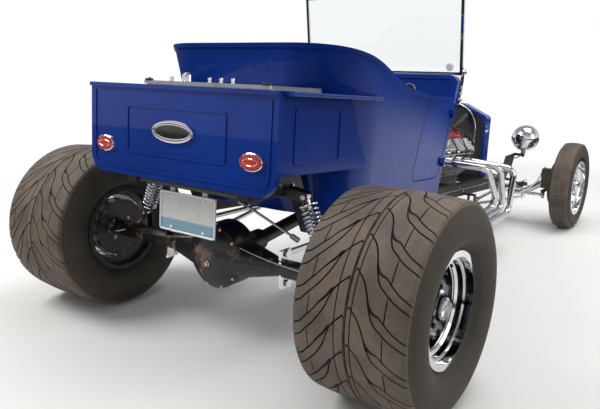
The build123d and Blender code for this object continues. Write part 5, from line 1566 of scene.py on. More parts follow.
@dataclass
class EngineFront:
    """Fan, belt, alternator, radiator neck and hoses, in the chassis frame."""

    # Place (y, z) and radius of each pulley under the belt, the alternator's last.
    pulleys: tuple[Spot, ...] = ((0.0, 160.0, 80.0), (0.0, 310.0, 68.0),
                                                       (-150.0, 372.0, 34.0))
    belt_x: float = 2201.0  # middle plane of the belt
    fan_x: float = 2272.0  # plane of the fan
    fan_z: float = 310.0  # height of its axle
    fan_r: float = 178.0  # length of a blade
    neck: Pair = (2418.0, 697.0)  # x and z of the radiator's filler neck

    def belt(self) -> None:
        """Rubber belt: in each direction n it follows the farthest pulley's centre + radius * n."""
        turn = full_turn(160)
        n = np.stack([np.cos(turn), np.sin(turn)], axis=1)
        centres = np.array([pulley[:2] for pulley in self.pulleys])
        radii = np.array([pulley[2] for pulley in self.pulleys])
        best = np.argmax(n @ centres.T + radii, axis=1)
        rows = []
        for dx, lift in ((-5.0, 0.5), (-7.0, 8.5), (7.0, 8.5), (5.0, 0.5)):
            spot = centres[best] + n * (radii[best] - 4.0 + lift)[:, None]
            rows.append(np.column_stack([np.full(len(turn), self.belt_x + dx), spot]))
        part = MeshParts("fan_belt").grid(np.array(rows), True, True)
        part.build("chassis", "chassis_black", [HOSE])

    def fan(self) -> None:
        """Six twisted blades on a hub: a blade point lies at radius r, sweep c and x + c times the pitch."""
        part = MeshParts("fan")
        hub = (self.fan_x, 0.0, self.fan_z)
        part.turned([(0, -22), (30, -22), (34, -14), (34, 10), (26, 14), (0, 14)], hub, FORE, 32)
        r = np.linspace(28, self.fan_r, 10)[:, None]
        c = np.array([-1.0, -0.5, 0.0, 0.5, 1.0, 1.0, 0.5, 0.0, -0.5, -1.0])[None, :]
        lift = np.array([0, 0, 0, 0, 0, 2.2, 2.2, 2.2, 2.2, 2.2])[None, :]
        chord = 17 + 16 * (r / self.fan_r)
        pitch = 14 - 6 * (r / self.fan_r)
        for turn in np.arange(6) * math.pi / 3:
            y = r * math.cos(turn) - c * chord * math.sin(turn)
            z = r * math.sin(turn) + c * chord * math.cos(turn)
            x = c * pitch + 3 * c**2 + lift + 0 * r
            blade = np.stack([x, y, z], axis=-1) + np.array(hub)
            part.grid(blade, wrap_v=True).cap(blade[0]).cap(blade[-1])
        part.build("chassis", "polished_aluminium", [CHROME])

    def alternator(self) -> None:
        """Alternator with its cooling slots, pulley and arm."""
        y, z, r = self.pulleys[2]
        part = MeshParts("alternator")
        shell = [(0, -120), (48, -120), (58, -112), (62, -100), (62, -70), (60, -68), (60, -58), (62, -56),
                 (62, -32), (56, -24), (30, -20), (14, -18), (14, -8), (0, -8)]
        part.turned(shell, (self.belt_x, y, z), FORE, 48)
        part.turned([(0, -9), (r, -9), (r - 5, -3), (r - 5, 3), (r, 9), (0, 9)], (self.belt_x, y, z),
                    FORE, 40, 1)
        part.bolt((self.belt_x + 8, y, z), FORE, 11.0, 1)
        part.pipe(np.array([(2165, y, z + 60), (2165, -100, z + 44), (2165, -40, 352)]), 7.0, 8)
        part.pipe(np.array([(2140, y, z - 55), (2140, -130, 290), (2140, -120, 262)]), 9.0, 8)
        part.build("chassis", "polished_aluminium", [BARE, STEEL])

    def hoses(self) -> None:
        """Radiator hoses with worm clamps, the filler neck with its cap, and the overflow tube."""
        x, top = self.neck
        part = MeshParts("radiator_hoses")
        upper = [(2150, 0, 425), (2185, 0, 455), (2235, -45, 505), (2290, -85, 560), (2340, -100, 600),
                 (2392, -104, 612)]
        lower = [(2180, 70, 300), (2230, 100, 270), (2290, 140, 248), (2340, 160, 240), (2394, 166, 240)]
        for path in (upper, lower):
            run = curve_through(path, 80)
            ripple = 19.0 + 0.7 * np.sin(np.linspace(0, 60, 80))
            part.pipe(run, ripple, 18)
            for near, far in ((4, 6), (-7, -5)):
                part.pipe(run[near:far + 1 if far + 1 else None], 20.8, 20, slot=1)
        part.build("chassis", "chassis_black", [HOSE, CLAMP])
        neck = MeshParts("radiator_cap")
        neck.turned([(0, -12), (27, -12), (25, 0), (22, 4), (22, 14), (0, 14)], (x, 0, top), UP, 32)
        cap = [(0, 12), (31, 12), (33, 15), (33, 20), (29, 24), (14, 26), (12, 30), (0, 31)]
        neck.turned(cap, (x, 0, top), UP, 40)
        neck.block((x, 0, top + 17), (14, 78, 6), 2.5)
        spill = [(x - 26, -4, top + 6), (x - 48, -20, top + 2), (x - 62, -70, top - 18),
                 (x - 64, -130, top - 60), (x - 64, -168, top - 130), (x - 64, -176, top - 260),
                 (x - 64, -180, top - 420)]
        neck.pipe(curve_through(spill, 70), 4.5, 10, slot=1)
        neck.build("chassis", "chrome", [CHROME, STEEL])

    def build(self) -> None:
        """Makes the engine's front."""
        self.belt()
        self.fan()
        self.alternator()
        self.hoses()


@dataclass
class HeaderTrim:
    """Flange bolts and mouths of the exhaust pipes, each closed by a near-black disc of carbon and painted
    shade, in the chassis frame.
    """

    ports: tuple[float, ...] = (1640.0, 1790.0, 1940.0)  # places of the ports along x
    flange_y: float = 272.0  # outer face of the flange
    port_z: float = 332.0  # height of the ports
    bolt_out: float = 33.0  # distance from a port to its bolts
    # For each pipe, its last bend and its mouth, on the left side.
    ends: tuple[tuple[Spot, Spot], ...] = (
        ((1963.0, 513.0, 83.0), (1720.0, 475.0, 10.0)),
        ((2017.0, 535.0, 58.0), (1700.0, 510.0, -5.0)),
        ((2030.0, 567.0, 24.0), (1690.0, 540.0, -20.0)),
    )

    def build(self) -> None:
        """Makes the bolts and mouths."""
        part = MeshParts("header_fittings")
        for side in Side:
            s = side.value
            for port in self.ports:
                for dx in (-self.bolt_out, self.bolt_out):
                    part.bolt((port + dx, s * self.flange_y, self.port_z - 12), (0, s, 0), 8.0)
                part.ring([(19.5, 2), (24.5, 2), (25.5, 6), (23, 9), (19.5, 8)],
                          (port, s * self.flange_y, self.port_z), (0, s, 0), 32)
            for low, end in self.ends:
                start = np.array((low[0], s * low[1], low[2]))
                stop = np.array((end[0], s * end[1], end[2]))
                run = (stop - start) / np.linalg.norm(stop - start)
                part.ring([(17.2, -2), (20.6, -2), (20.9, 4), (20.0, 8), (17.8, 8)], stop, run, 36)
                # The disc that closes the mouth is near black: carbon, and painted shade of the pipe's
                # hollow.
                part.turned([(0, -1), (18, -1), (18, 0.8), (0, 0.8)], stop, run, 36, 1)
        part.build("chassis", "chrome", [PIPES, SOOT_AND_SHADE])


@dataclass
class BlockSides:
    """Core plugs, sump bolts, oil filter and starter on the engine's sides, in the chassis frame."""

    plug_x: tuple[float, ...] = (1600.0, 1790.0, 1980.0)  # places of the core plugs along x
    # First bolt, last bolt and number of bolts along the sump.
    sump_x: tuple[float, float, int] = (1565.0, 2015.0, 8)

    def build(self) -> None:
        """Makes the fittings."""
        part = MeshParts("block_fittings")
        lean = np.array((0.0, 0.785, -0.62))
        for side in Side:
            s = side.value
            out = lean * (1, s, 1)
            for x in self.plug_x:
                part.turned([(0, -6), (24, -6), (25, 0), (22, 2), (18, -2), (0, -3)], (x, s * 200, 241), out,
                            28)
            for x in np.linspace(*self.sump_x):
                part.bolt((x, s * 122, 101), DOWN, 6.5)
        part.turned([(0, 0), (47, 0), (50, 4), (50, 90), (44, 102), (28, 108), (0, 109)], (1640, 130, 122),
                    (0, 0.9, -0.45), 40, 1)
        part.turned([(0, 0), (34, 0), (38, 6), (38, 150), (30, 158), (0, 160)], (1480, -168, 120), FORE,
                    32, 1)
        part.build("chassis", "engine_cast", [STEEL, ENGINE])


# Front end


@dataclass
class FrontEnd:
    """Spring clips, shackle nuts, rod joints and brake hoses, in the ground frame."""

    tie_x: float = 2765.0  # place of the tie rod along x
    pin_y: float = 575.0  # distance of a kingpin from the middle

    def spring(self) -> None:
        """Two U clips over the spring's middle and the nuts on the shackle pins."""
        part = MeshParts("spring_clips")
        x = WHEELBASE - 87.0
        for y in (-34.0, 34.0):
            for dx in (-28.0, 28.0):
                part.pipe(np.array([(x + dx, y, 152.0), (x + dx, y, 180.0), (x + dx, y, 212.0)]), 5.0, 10,
                          up=(0, 1, 0))
                part.bolt((x + dx, y, 204.0), UP, 8.5)
            part.block((x, y, 156.0), (68, 14, 8), 2.5)
        part.block((x, 0.0, 158.0), (52, 8, 36), 2.0)
        part.build("chassis", "brake_cast", [STEEL])

    def joints(self) -> None:
        """Clevis nuts on the hairpin rods and the bolts through their brackets."""
        part = MeshParts("rod_joints", Frame.GROUND)
        for side in Side:
            s = side.value
            for out in (-27.0, 23.0):
                axis = (0, math.copysign(1, out) * s, 0)
                part.bolt((1888, s * (372 + out), 300), axis, 11.0)
            for rise in (-14.0, 14.0):
                spot = np.array((1984.0, s * 372, 300 + rise))
                part.turned([(0, 0), (14, 0), (14, 20), (12, 22), (0, 22)], spot, (1, 0, rise / 110), 6)
            part.turned([(0, -2), (13, -2), (13, 10), (9, 13), (0, 13)], (2848, s * 424, self.pin_z()),
                        FORE, 6)
        part.build("chassis", "chrome", [CHROME])

    def pin_z(self) -> float:
        """Height of the shackle's lower pin, in the ground frame."""
        return AXLE_Z - 2793 * math.sin(RAKE) + 128.5 * math.cos(RAKE) - 9

    def steering(self) -> None:
        """Rubber boots and castle nuts at both ends of the tie rod, with sleeve clamps."""
        part = MeshParts("tie_rod_ends", Frame.GROUND)
        for side in Side:
            y = side.value * self.pin_y
            part.turned([(0, 3), (10, 3), (13, 0), (15, -5), (14, -11), (0, -11)][::-1],
                        (self.tie_x, y, 249), UP, 28, 1)
            part.turned([(0, -4), (11, -4), (11, 8), (0, 8)], (self.tie_x, y, 219), DOWN, 6)
            for reach in (60.0, 95.0):
                part.ring([(11.0, -5), (14.5, -5), (14.5, 5), (11.0, 5)],
                          (self.tie_x, side.value * (self.pin_y - reach), 237), (0, 1, 0), 24)
        part.build("tie_rod", "chrome", [CHROME, HOSE])

    def hoses(self) -> None:
        """Pale brake hoses that bow from the frame's corners to the brakes, and a line along the frame."""
        part = MeshParts("front_brake_lines", Frame.GROUND)
        for side in Side:
            s = side.value
            line = [(1500, s * 336, 430), (1800, s * 336, 408), (2100, s * 336, 385), (2380, s * 336, 364),
                    (2440, s * 345, 352)]
            part.pipe(curve_through(line, 60), 3.2, 8, slot=1)
            bow = [(2440, s * 345, 352), (2480, s * 368, 318), (2540, s * 405, 274), (2610, s * 446, 258),
                   (2680, s * 486, 280), (2735, s * 522, 322), (2768, s * 544, 362), (2782, s * 553, 384)]
            part.pipe(curve_through(bow, 90), 5.0, 10)
            part.turned([(0, -6), (9, -6), (9, 12), (0, 12)], bow[0], (1, s * 0.5, -0.6), 6, 1)
            part.turned([(0, -6), (9, -6), (9, 10), (0, 10)], bow[-1], (-1, -s * 0.5, -0.3), 6, 1)
        part.build("chassis", "chrome", [PALE_HOSE, STEEL])

    def brakes(self, side: Side) -> None:
        """Caliper bridge, bleed screw and bolts on one knuckle, with its kingpin caps.

        Args:
            side: the car's side.
        """
        s = side.value
        part = MeshParts(f"brake_fittings_{side.word}", Frame.GROUND)
        part.block((WHEELBASE - 107, s * 583, 360), (40, 40, 92), 7)
        for rise in (318.0, 402.0):
            part.bolt((WHEELBASE - 108, s * 558, rise), (0, -s, 0), 9.0, 1)
        part.turned([(0, 0), (4.5, 0), (4.5, 12), (2.5, 14), (0, 15)], (WHEELBASE - 96, s * 572, 428),
                    UP, 6, 1)
        for rise, way in ((364.4, 1.0), (251.6, -1.0)):
            part.turned([(0, -1), (17, -1), (17, 3), (12, 6), (0, 7)], (WHEELBASE, s * self.pin_y, rise),
                        (0, 0, way), 28, 1)
        for turn in np.radians((20, 80, 140, 200, 260, 320)):
            spot = (WHEELBASE + 118 * math.cos(turn), s * 611, FRONT_R + 118 * math.sin(turn))
            part.bolt(spot, (0, -s, 0), 5.5, 1)
        part.build(f"knuckle_{side.word}", "brake_cast", [IRON, STEEL])

    def build(self) -> None:
        """Makes the front end's fittings."""
        self.spring()
        self.joints()
        self.steering()
        self.hoses()
        for side in Side:
            self.brakes(side)


@dataclass
class Headlamp:
    """A round bullet lamp: ball back, rolled bezel, mount and reflector, in the chassis frame."""

    side: Side
    centre: Spot = (2781.8, 398.0, 466.0)  # the lamp's middle on the left side
    radius: float = 93.0  # of its shell
    stem: float = 11.0  # radius of its stem
    foot: float = -112.0  # how far below the middle the stem ends

    def build(self) -> None:
        """Makes the shell and lets it stand for the CAD node."""
        x, y, z = self.centre
        spot = (x, self.side.value * y, z)
        turn = np.radians(np.linspace(0, 104, 26))
        ball = [(self.radius * math.sin(a), -self.radius * 0.86 * math.cos(a) - 2) for a in turn]
        bezel = [(self.radius * 0.985, 22), (self.radius, 24), (self.radius + 1.5, 30),
                 (self.radius + 1.0, 40), (self.radius - 3, 47), (86, 48), (85.6, 45.5), (60, 30), (28, 12),
                 (0, 6)]
        name = f"headlamp_{self.side.word}"
        part = MeshParts(f"{name}_dressed")
        part.turned(ball + bezel, spot, FORE, 72)
        part.turned([(0, 12), (9, 12), (11, 18), (11, 28), (7, 34), (0, 36)], spot, FORE, 24, 1)
        foot = [(0, self.foot), (16, self.foot), (16, self.foot + 10), (self.stem, self.foot + 13),
                (self.stem, -100), (20, -95), (24, -86), (0, -84)]
        part.turned(foot, spot, UP, 28)
        part.bolt((x, self.side.value * y, z + self.foot - 20), DOWN, 9.0)
        wire = [(x - 14, spot[1], z - 92), (x - 22, spot[1], z - 112),
                (x - 30, spot[1] - self.side.value * 14, z - 132),
                (x - 60, spot[1] - self.side.value * 40, z - 150)]
        part.pipe(curve_through(wire, 30), 4.0, 8, slot=2)
        piece = part.build("chassis", "chrome", [CHROME, GLASS, HOSE])
        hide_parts(name)


# Cockpit


@dataclass
class Pad:
    """A sprung seat pad: the CAD solid, swollen by cloth pressure, then sewn into channels."""

    node: str  # the CAD node it is made from and stands for
    facing: Spot  # direction of the face that is sewn
    pitch: float = 0.078  # distance between the channels along y, in metres
    sink: float = 0.009  # depth of a seam, in metres
    swell: float = 0.012  # largest move of a point under pressure, in metres
    inset: float = 0.008  # how far the start lies inside the CAD solid, in metres
    voxel: float = 0.0095  # size of the even mesh's cells, in metres
    pressure: float = 4.0  # the cloth's pressure
    settled: int = 20  # the frame at which the cloth has come to rest
    sewn_half: float = 0.395  # half the width that is sewn, in metres
    stitch: float = 0.008  # half width of a seam, in metres

    def start(self, source: bpy.types.Object) -> bpy.types.Object:
        """A slightly smaller, evenly meshed copy of the CAD solid.

        Args:
            source: the CAD object, which stays as it is.

        Returns:
            The new object.
        """
        mesh = source.data.copy()
        work = bmesh.new()
        work.from_mesh(mesh)
        bmesh.ops.remove_doubles(work, verts=work.verts, dist=2e-5)
        work.to_mesh(mesh)
        work.free()
        points = np.empty(len(mesh.vertices) * 3)
        mesh.vertices.foreach_get("co", points)
        points = points.reshape(-1, 3)
        middle = (points.min(0) + points.max(0)) / 2
        half = (points.max(0) - points.min(0)) / 2
        points = middle + (points - middle) * (1 - self.inset / half)
        mesh.vertices.foreach_set("co", points.ravel())
        mesh.materials.clear()
        pad = bpy.data.objects.new(f"{self.node}_pad", mesh)
        bpy.context.scene.collection.objects.link(pad)
        even = pad.modifiers.new("even", "REMESH")
        even.mode = "VOXEL"
        even.voxel_size = self.voxel
        return self.applied(pad)

    def applied(self, pad: bpy.types.Object) -> bpy.types.Object:
        """Turns the modifiers into mesh.

        Args:
            pad: the object.

        Returns:
            The same object.
        """
        graph = bpy.context.evaluated_depsgraph_get()
        mesh = bpy.data.meshes.new_from_object(pad.evaluated_get(graph))
        pad.modifiers.clear()
        pad.data = mesh
        return pad

    def inflate(self, pad: bpy.types.Object) -> None:
        """Swells the pad by cloth pressure and caps how far a point moves.

        Args:
            pad: the evenly meshed pad.
        """
        before = np.empty(len(pad.data.vertices) * 3)
        pad.data.vertices.foreach_get("co", before)
        cloth = pad.modifiers.new("cloth", "CLOTH")
        cloth.settings.use_pressure = True
        cloth.settings.uniform_pressure_force = self.pressure
        cloth.settings.effector_weights.gravity = 0.0
        for number in range(1, self.settled + 1):
            bpy.context.scene.frame_set(number)
        self.applied(pad)
        bpy.context.scene.frame_set(1)
        after = np.empty(len(before))
        pad.data.vertices.foreach_get("co", after)
        move = (after - before).reshape(-1, 3)
        length = np.linalg.norm(move, axis=1, keepdims=True)
        move *= np.minimum(1, self.swell / np.maximum(length, 1e-9))
        pad.data.vertices.foreach_set("co", (before.reshape(-1, 3) + move).ravel())

    def sew(self, pad: bpy.types.Object) -> None:
        """Sinks the seams along the open face.

        A point moves against the facing direction by depth * exp(-(d / width)^2), less a swell between the
        seams, where d is its distance along y to the nearest seam.

        Args:
            pad: the swollen pad.
        """
        mesh = pad.data
        points = np.empty(len(mesh.vertices) * 3)
        mesh.vertices.foreach_get("co", points)
        points = points.reshape(-1, 3)
        normals = np.empty(len(mesh.vertices) * 3)
        mesh.vertices.foreach_get("normal", normals)
        facing = np.array(self.facing) / np.linalg.norm(self.facing)
        open_face = np.clip((normals.reshape(-1, 3) @ facing - 0.35) / 0.4, 0, 1)
        inside = np.clip((self.sewn_half - abs(points[:, 1])) / 0.02, 0, 1)
        near = (points[:, 1] + self.pitch / 2) % self.pitch - self.pitch / 2
        swollen = 0.35 * np.cos(math.tau * near / self.pitch) ** 2 * 0.5
        seam = np.exp(-(near / self.stitch) ** 2) - swollen
        points -= facing * (self.sink * seam * open_face * inside)[:, None]
        mesh.vertices.foreach_set("co", points.ravel())
        mark = mesh.attributes.new("groove", "FLOAT", "POINT")
        deep = np.exp(-(near / (self.stitch / 2)) ** 2) * open_face * inside
        mark.data.foreach_set("value", deep.astype(np.float32))

    def build(self, nodes: dict[str, bpy.types.Object]) -> None:
        """Makes the pad and lets it stand for its CAD node.

        Args:
            nodes: the frame's CAD objects by name.
        """
        pad = self.start(nodes[self.node])
        self.inflate(pad)
        self.sew(pad)
        mesh = pad.data
        mesh.polygons.foreach_set("use_smooth", np.ones(len(mesh.polygons), bool))
        mesh.materials.clear()
        mesh.materials.append(HIDE.material())
        smooth = pad.modifiers.new("smooth", "SUBSURF")
        smooth.levels = smooth.render_levels = 1
        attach(pad, "chassis")
        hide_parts(self.node)
        log.info("%s: %d points", pad.name, len(mesh.vertices))


@dataclass
class Gauges:
    """Round dials in the dash: bezel, dark face, ticks and a pointer, in the chassis frame."""

    dash_x: float = 1222.0  # face of the dash
    z: float = 745.0  # height of the dials
    pitch: float = 105.0  # distance between dials
    count: int = 5  # dials in the row

    def build(self) -> None:
        """Makes the dials."""
        part = MeshParts("gauges")
        for index in range(self.count):
            centre = np.array((self.dash_x, (index - (self.count - 1) / 2) * self.pitch, self.z))
            bezel = [(32.5, -0.5), (34, 3), (36, 6.5), (38.6, 6.0), (39.6, 2), (39.6, -0.5)]
            part.ring(bezel, centre, AFT, 48)
            part.turned([(0, -1), (33.5, -1), (33.5, 0.8), (0, 0.8)], centre, AFT, 48, 1)
            sweep = np.radians(np.linspace(-135, 135, 11))
            for tick, angle in enumerate(sweep):
                length = 6.0 if tick % 5 == 0 else 3.6
                out = np.array((0.0, math.sin(angle), math.cos(angle)))
                turn = np.array([(1.0, 0.0, 0.0), np.cross(out, (1.0, 0.0, 0.0)), out])
                part.block(centre + out * (28 - length / 2) - (1.0, 0, 0), (0.8, 1.3, length), 0.3, 2,
                           turn=turn)
            angle = math.radians(-100 + 37 * index)
            out = np.array((0.0, math.sin(angle), math.cos(angle)))
            turn = np.array([(1.0, 0.0, 0.0), np.cross(out, (1.0, 0.0, 0.0)), out])
            part.block(centre + out * 9 - (2.2, 0, 0), (0.9, 1.6, 27), 0.4, 3, turn=turn)
            part.turned([(0, 0), (4, 0), (4, 3), (0, 3.4)], centre, AFT, 20)
        part.build("chassis", "chrome", [CHROME, BADGE, WHITE, LENS])


@dataclass
class SteeringWheel:
    """Leather rim with finger grips, three drilled spokes and a horn button, in the chassis frame."""

    hub: Spot = (900.0, 235.0, 770.0)  # the wheel's middle
    fall: float = 25.8  # how far the column falls towards the nose, in degrees
    rim_r: float = 165.0  # radius of the rim's middle line
    grip_r: float = 13.0  # radius of the rim's section

    def run(self) -> Points:
        """The direction in which the column falls towards the nose."""
        fall = math.radians(self.fall)
        return np.array((math.cos(fall), 0.0, -math.sin(fall)))

    def build(self) -> None:
        """Makes the wheel and lets it stand for its CAD node."""
        run = self.run()
        u = np.array((0.0, 1.0, 0.0))
        v = np.cross(run, u)
        hub = np.array(self.hub)
        turn = full_turn(160)
        section = full_turn(14)
        out = np.cos(turn)[:, None] * u + np.sin(turn)[:, None] * v
        grip = self.grip_r - 0.6 - 0.5 * np.cos(48 * turn)
        rim = (hub + out[:, None, :] * (self.rim_r + grip[:, None] * np.cos(section)[None, :])[..., None]
               + run * (grip[:, None] * np.sin(section)[None, :])[..., None])
        part = MeshParts("steering_wheel_dressed").grid(rim, True, True)
        part.turned([(0, -4), (24, -4), (28, 0), (29, 22), (31, 26), (31, 39), (0, 39)], hub, run, 40, 1)
        part.turned([(0, -16), (12, -15), (20, -11), (24, -4), (0, -4)], hub, run, 40, 2)
        for angle in np.radians((90, 210, 330)):
            along = math.cos(angle) * u + math.sin(angle) * v
            side = np.cross(run, along)
            share = np.linspace(0.12, 0.97, 24)
            middle = hub + along * (share * self.rim_r)[:, None] + run * (8 - 6 * share)[:, None]
            half = 15 - 6 * share
            rows = [middle + side * (half * a)[:, None] + run * b for a, b in
                    ((-1, 0), (-0.9, -1.6), (0.9, -1.6), (1, 0), (0.9, 1.6), (-0.9, 1.6))]
            spoke = np.stack(rows, axis=1)
            part.grid(spoke, wrap_v=True, slot=1).cap(spoke[0], 1).cap(spoke[-1], 1)
            for place in (0.38, 0.56, 0.74):
                spot = hub + along * (place * self.rim_r) + run * (8 - 6 * place)
                part.turned([(0, -2.1), (6.2 - 3 * place, -2.1), (6.2 - 3 * place, 2.1), (0, 2.1)], spot,
                            run, 16, 2)
        piece = part.build("steering_wheel", "wheel_rim_black", [HIDE, ALUMINIUM, HOSE])
        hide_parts("steering_wheel")


@dataclass
class CockpitTrim:
    """Column collars and lever, screen bolts and knobs, and the blank round sticker, in the chassis frame."""

    screen_x: float = 1256.0  # foot of the screen
    screen_z: float = 835.6  # height of its lower edge
    lean: float = 10.0  # how far the screen leans back, in degrees

    def column(self) -> None:
        """Collars on the steering column, and a stalk with its knob."""
        part = MeshParts("column_fittings")
        wheel = SteeringWheel()
        run, hub = wheel.run(), np.array(wheel.hub)
        for reach, size in ((52, 24), (70, 24), (300, 23), (330, 23)):
            part.ring([(18.8, -6), (size, -5), (size, 5), (18.8, 6)], hub + run * reach, run, 32)
        stalk = [hub + run * 62 + (0, 20, 0), hub + run * 58 + (0, 60, 6), hub + run * 50 + (0, 120, 12)]
        part.pipe(curve_through(stalk, 16), 3.4, 8)
        part.turned([(0, -8), (6, -6), (8, 0), (6, 6), (0, 8)], stalk[-1], (0, 1, 0), 16, 1)
        part.build("chassis", "chrome", [CHROME, HOSE])

    def brackets(self) -> None:
        """Bolts that hold the screen's side brackets, and its pivot knobs."""
        part = MeshParts("screen_bolts")
        slope = (492.0 - 408.0) / 705.0
        for side in Side:
            s = side.value
            out = np.array((0.0, s, -slope))
            for z in (712.0, 742.0, 772.0):
                y = 408.0 + (z - 195.0) * slope + 10.9
                part.bolt((self.screen_x + 8, s * y, z), out, 7.0)
            knob = [(0, 0), (9, 0), (9, 3), (14, 4), (15, 8), (14, 13), (10, 15), (0, 16)]
            part.turned(knob, (self.screen_x + 2, s * 491.7, self.screen_z + 18), (0, s, 0), 24)
        part.build("chassis", "chrome", [CHROME])

    def sticker(self) -> None:
        """Blank white disc on the pane."""
        lean = math.radians(self.lean)
        z = 850.0
        spot = (self.screen_x - (z - self.screen_z) * math.tan(lean) - 3.2, -418.0, z + 26)
        part = MeshParts("pane_sticker")
        part.turned([(0, -0.3), (21, -0.3), (21, 0.3), (0, 0.3)], spot,
                    (-math.cos(lean), 0, -math.sin(lean)), 40)
        part.build("chassis", "clear_glass", [WHITE])

    def build(self) -> None:
        """Makes the cockpit's small trim."""
        self.column()
        self.brackets()
        self.sticker()


@dataclass
class FrameBolts:
    """Bolts through the rails at the cross tubes, in the chassis frame."""

    rail_y: float = 330.5  # outer face of a rail
    # Each bolt's place (x, z).
    spots: tuple[Pair, ...] = (
        (-170.0, 335.0), (-60.0, 335.0), (20.0, 335.0), (560.0, 157.0), (935.0, 172.0), (965.0, 140.0),
        (1770.0, 172.0), (1830.0, 148.0), (2400.0, 172.0), (2440.0, 145.0), (2526.0, 172.0), (2526.0, 146.0))

    def build(self) -> None:
        """Makes the bolts."""
        part = MeshParts("rail_bolts")
        for side in Side:
            for x, z in self.spots:
                out = self.rail_y + (8.0 if x > 2500 else 0.0)
                part.bolt((x, side.value * out, z), (0, side.value, 0), 9.0)
        part.build("chassis", "chassis_black", [STEEL])


# Studio


@dataclass
class Studio:
    """Floor, light and the camera of the photograph's viewpoint."""

    eye: Spot = (-1898.1, -1788.4, 1221.5)  # the camera's place in the ground frame, in millimetres
    yaw: float = 36.13  # direction of view from +X towards +Y, in degrees
    pitch: float = -13.45  # rise of the view, in degrees
    roll: float = 0.42  # turn about the view, in degrees
    lens: float = 37.7  # focal length on a 36 mm wide sensor
    floor_half: float = 60.0  # half the floor's edge, in metres
    floor_near: float = 2.6  # distance from the middle where the floor starts to whiten
    floor_far: float = 5.0  # distance where it is white
    floor_colour: Colour = (0.80, 0.79, 0.77)  # the pale floor
    ceiling: float = 0.35  # strength that gloss sees overhead
    fill: float = 0.5  # strength for other light

    def camera(self) -> None:
        """Places the camera."""
        yaw, pitch, roll = (math.radians(a) for a in (self.yaw, self.pitch, self.roll))
        ahead = Vector((math.cos(pitch) * math.cos(yaw), math.cos(pitch) * math.sin(yaw), math.sin(pitch)))
        right = Vector((math.sin(yaw), -math.cos(yaw), 0))
        up = right.cross(ahead)
        across = right * math.cos(roll) + up * math.sin(roll)
        above = up * math.cos(roll) - right * math.sin(roll)
        data = bpy.data.cameras.new("photo_camera")
        data.sensor_width = 36.0
        data.lens = self.lens
        data.clip_end = 100.0
        camera = bpy.data.objects.new("photo_camera", data)
        turn = Matrix((across, above, -ahead)).transposed().to_4x4()
        place = Frame.GROUND.place(np.array(self.eye)) * MM
        camera.matrix_world = Matrix.Translation(Vector(place)) @ turn
        bpy.context.scene.collection.objects.link(camera)
        bpy.context.scene.camera = camera

    def floor(self) -> None:
        """Plain pale floor."""
        mesh = bpy.data.meshes.new("floor")
        h = self.floor_half
        mesh.from_pydata([(-h, -h, 0), (h, -h, 0), (h, h, 0), (-h, h, 0)], [], [(0, 1, 2, 3)])
        floor = bpy.data.objects.new("floor", mesh)
        bpy.context.scene.collection.objects.link(floor)
        graph = Graph("floor_pale")
        low = tuple(c * 0.97 for c in self.floor_colour)
        pale = graph.mix(graph.noise(1.3, 3), low, self.floor_colour)
        length = graph.add("ShaderNodeVectorMath", {0: graph.place}, operation="LENGTH")
        far = graph.ramp(length.outputs["Value"], self.floor_near, self.floor_far)
        path = graph.add("ShaderNodeLightPath").outputs
        seen = graph.calc("MAXIMUM", path["Is Camera Ray"], path["Is Transmission Ray"])
        graph.set(Emission_Color=(1.0, 1.0, 1.0), Emission_Strength=graph.times(far, seen))
        graph.set(Base_Color=graph.mix(far, pale, (0.0, 0.0, 0.0)), Roughness=0.85, Specular_IOR_Level=0.2)
        mesh.materials.append(graph.result)

    def world(self) -> None:
        """White surroundings to the eye and through glass.

        Gloss sees them white at the horizon and greyer overhead, and other light takes the fill's strength.
        """
        world = bpy.data.worlds.new("studio")
        bpy.context.scene.world = world
        world.use_nodes = True
        tree = world.node_tree
        tree.nodes.clear()

        def node(kind: str, *inputs: object, **values: object) -> bpy.types.Node:
            """A node whose first sockets take values or links in order.

            Args:
                kind: the node's type.
                inputs: values or sockets for its first inputs.
                values: properties to set.

            Returns:
                The node.
            """
            made = tree.nodes.new(kind)
            for name, value in values.items():
                setattr(made, name, value)
            for socket, value in zip(made.inputs, inputs):
                if isinstance(value, Socket):
                    tree.links.new(value, socket)
                else:
                    socket.default_value = value
            return made

        path = node("ShaderNodeLightPath").outputs
        rise = node("ShaderNodeSeparateXYZ", node("ShaderNodeTexCoord").outputs["Generated"]).outputs["Z"]
        ceiling = node("ShaderNodeMapRange", rise, 0.02, 0.55, 1.0, self.ceiling).outputs[0]
        gloss = node("ShaderNodeMapRange", path["Is Glossy Ray"], 0.0, 1.0, self.fill, ceiling).outputs[0]
        seen = node("ShaderNodeMath", path["Is Camera Ray"], path["Is Transmission Ray"],
                    operation="MAXIMUM").outputs[0]
        strength = node("ShaderNodeMapRange", seen, 0.0, 1.0, gloss, 1.0).outputs[0]
        background = node("ShaderNodeBackground", (1.0, 1.0, 1.0, 1.0), strength)
        output = tree.nodes.new("ShaderNodeOutputWorld")
        tree.links.new(background.outputs[0], output.inputs["Surface"])

    def lamp(self, name: str, spot: Sequence[float], size: float, watts: float) -> None:
        """A square soft light that points at the car's middle.

        Args:
            name: the lamp's name.
            spot: where it hangs, in metres.
            size: its edge, in metres.
            watts: its strength.
        """
        data = bpy.data.lights.new(name, "AREA")
        data.size = size
        data.energy = watts
        light = bpy.data.objects.new(name, data)
        ahead = Vector((0, 0, 0.5)) - Vector(spot)
        aim = ahead.to_track_quat("-Z", "Y").to_matrix().to_4x4()
        light.matrix_world = Matrix.Translation(Vector(spot)) @ aim
        bpy.context.scene.collection.objects.link(light)

    def build(self) -> None:
        """Makes the whole studio."""
        self.camera()
        self.floor()
        self.world()
        self.lamp("key_light", (-3.5, 3.5, 5.0), 3.0, 260)
        self.lamp("top_light", (1.0, -1.5, 5.5), 4.0, 220)
        self.lamp("side_light", (0.5, -5.5, 2.5), 3.0, 60)
        bpy.context.scene.view_settings.view_transform = "Standard"


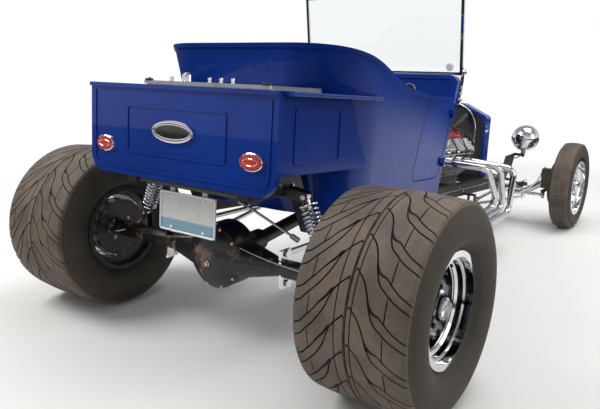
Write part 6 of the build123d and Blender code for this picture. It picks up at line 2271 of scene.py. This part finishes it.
def dress_frame(nodes: dict[str, bpy.types.Object]) -> None:
    """Gives every carried-over CAD node its finish.

    Args:
        nodes: the frame's CAD objects by name.
    """
    dress(nodes, BLUE, "body_tub", "door_right", "cowl", "dashboard", "bed", "tailgate", "radiator_shell")
    dress(nodes, CHASSIS, "floor_pan", "frame_rail_left", "frame_rail_right", "crossmembers", "driveshaft",
          "seat_riser")
    dress(nodes, AXLE_BLACK_RUST_AND_SUN, "rear_axle")
    dress(nodes, HIDE, "seat_cushion", "seat_back")
    dress(nodes, CHROME, "windscreen_frame", "headlamp_left", "headlamp_right", "valve_covers", "radius_rods",
          "front_axle", "tie_rod", "steering_column", "rear_links")
    dress(nodes, PIPES, "header_left", "header_right")
    dress(nodes, RIM, "rear_wheel_left", "rear_wheel_right")
    dress(nodes, ALUMINIUM, "front_wheel_left", "front_wheel_right", "intake")
    dress(nodes, BARE, "bed_tank")
    dress(nodes, ENGINE, "engine_block", "gearbox")
    dress(nodes, IRON, "knuckle_left", "knuckle_right", "front_spring", "coil_over_left", "coil_over_right")
    dress(nodes, CORE, "radiator_core")
    dress(nodes, GLASS, "windscreen_glass", "headlamp_lenses")
    dress(nodes, LENS, "tail_lamps")
    dress(nodes, PLATE, "licence_plate")
    dress(nodes, RUBBER, "rear_tyre_left", "rear_tyre_right", "front_tyre_left", "front_tyre_right")
    dress(nodes, HOSE, "steering_wheel")


def main() -> None:
    """Loads the frame, dresses it and builds every added piece."""
    logging.basicConfig(level=logging.INFO, format="%(name)s %(message)s")
    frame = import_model()
    dress_frame(frame["nodes"])
    for side in Side:
        rear_tyre(side).build()
        front_tyre(side).build()
        CoilOver(side).build()
        for trim in wheel_trims(side):
            trim.build()
        Headlamp(side).build()
    for assembly in (Tail(), RearEnd(), TankFittings(), EngineTop(), EngineFront(), HeaderTrim(),
                     BlockSides(), FrontEnd(), Gauges(), SteeringWheel(), CockpitTrim(), FrameBolts()):
        assembly.build()
    Pad("seat_cushion", (0.0, 0.0, 1.0)).build(frame["nodes"])
    Pad("seat_back", (1.0, 0.0, 0.18)).build(frame["nodes"])
    Studio().build()
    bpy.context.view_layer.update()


if __name__ == "__main__":
    main()
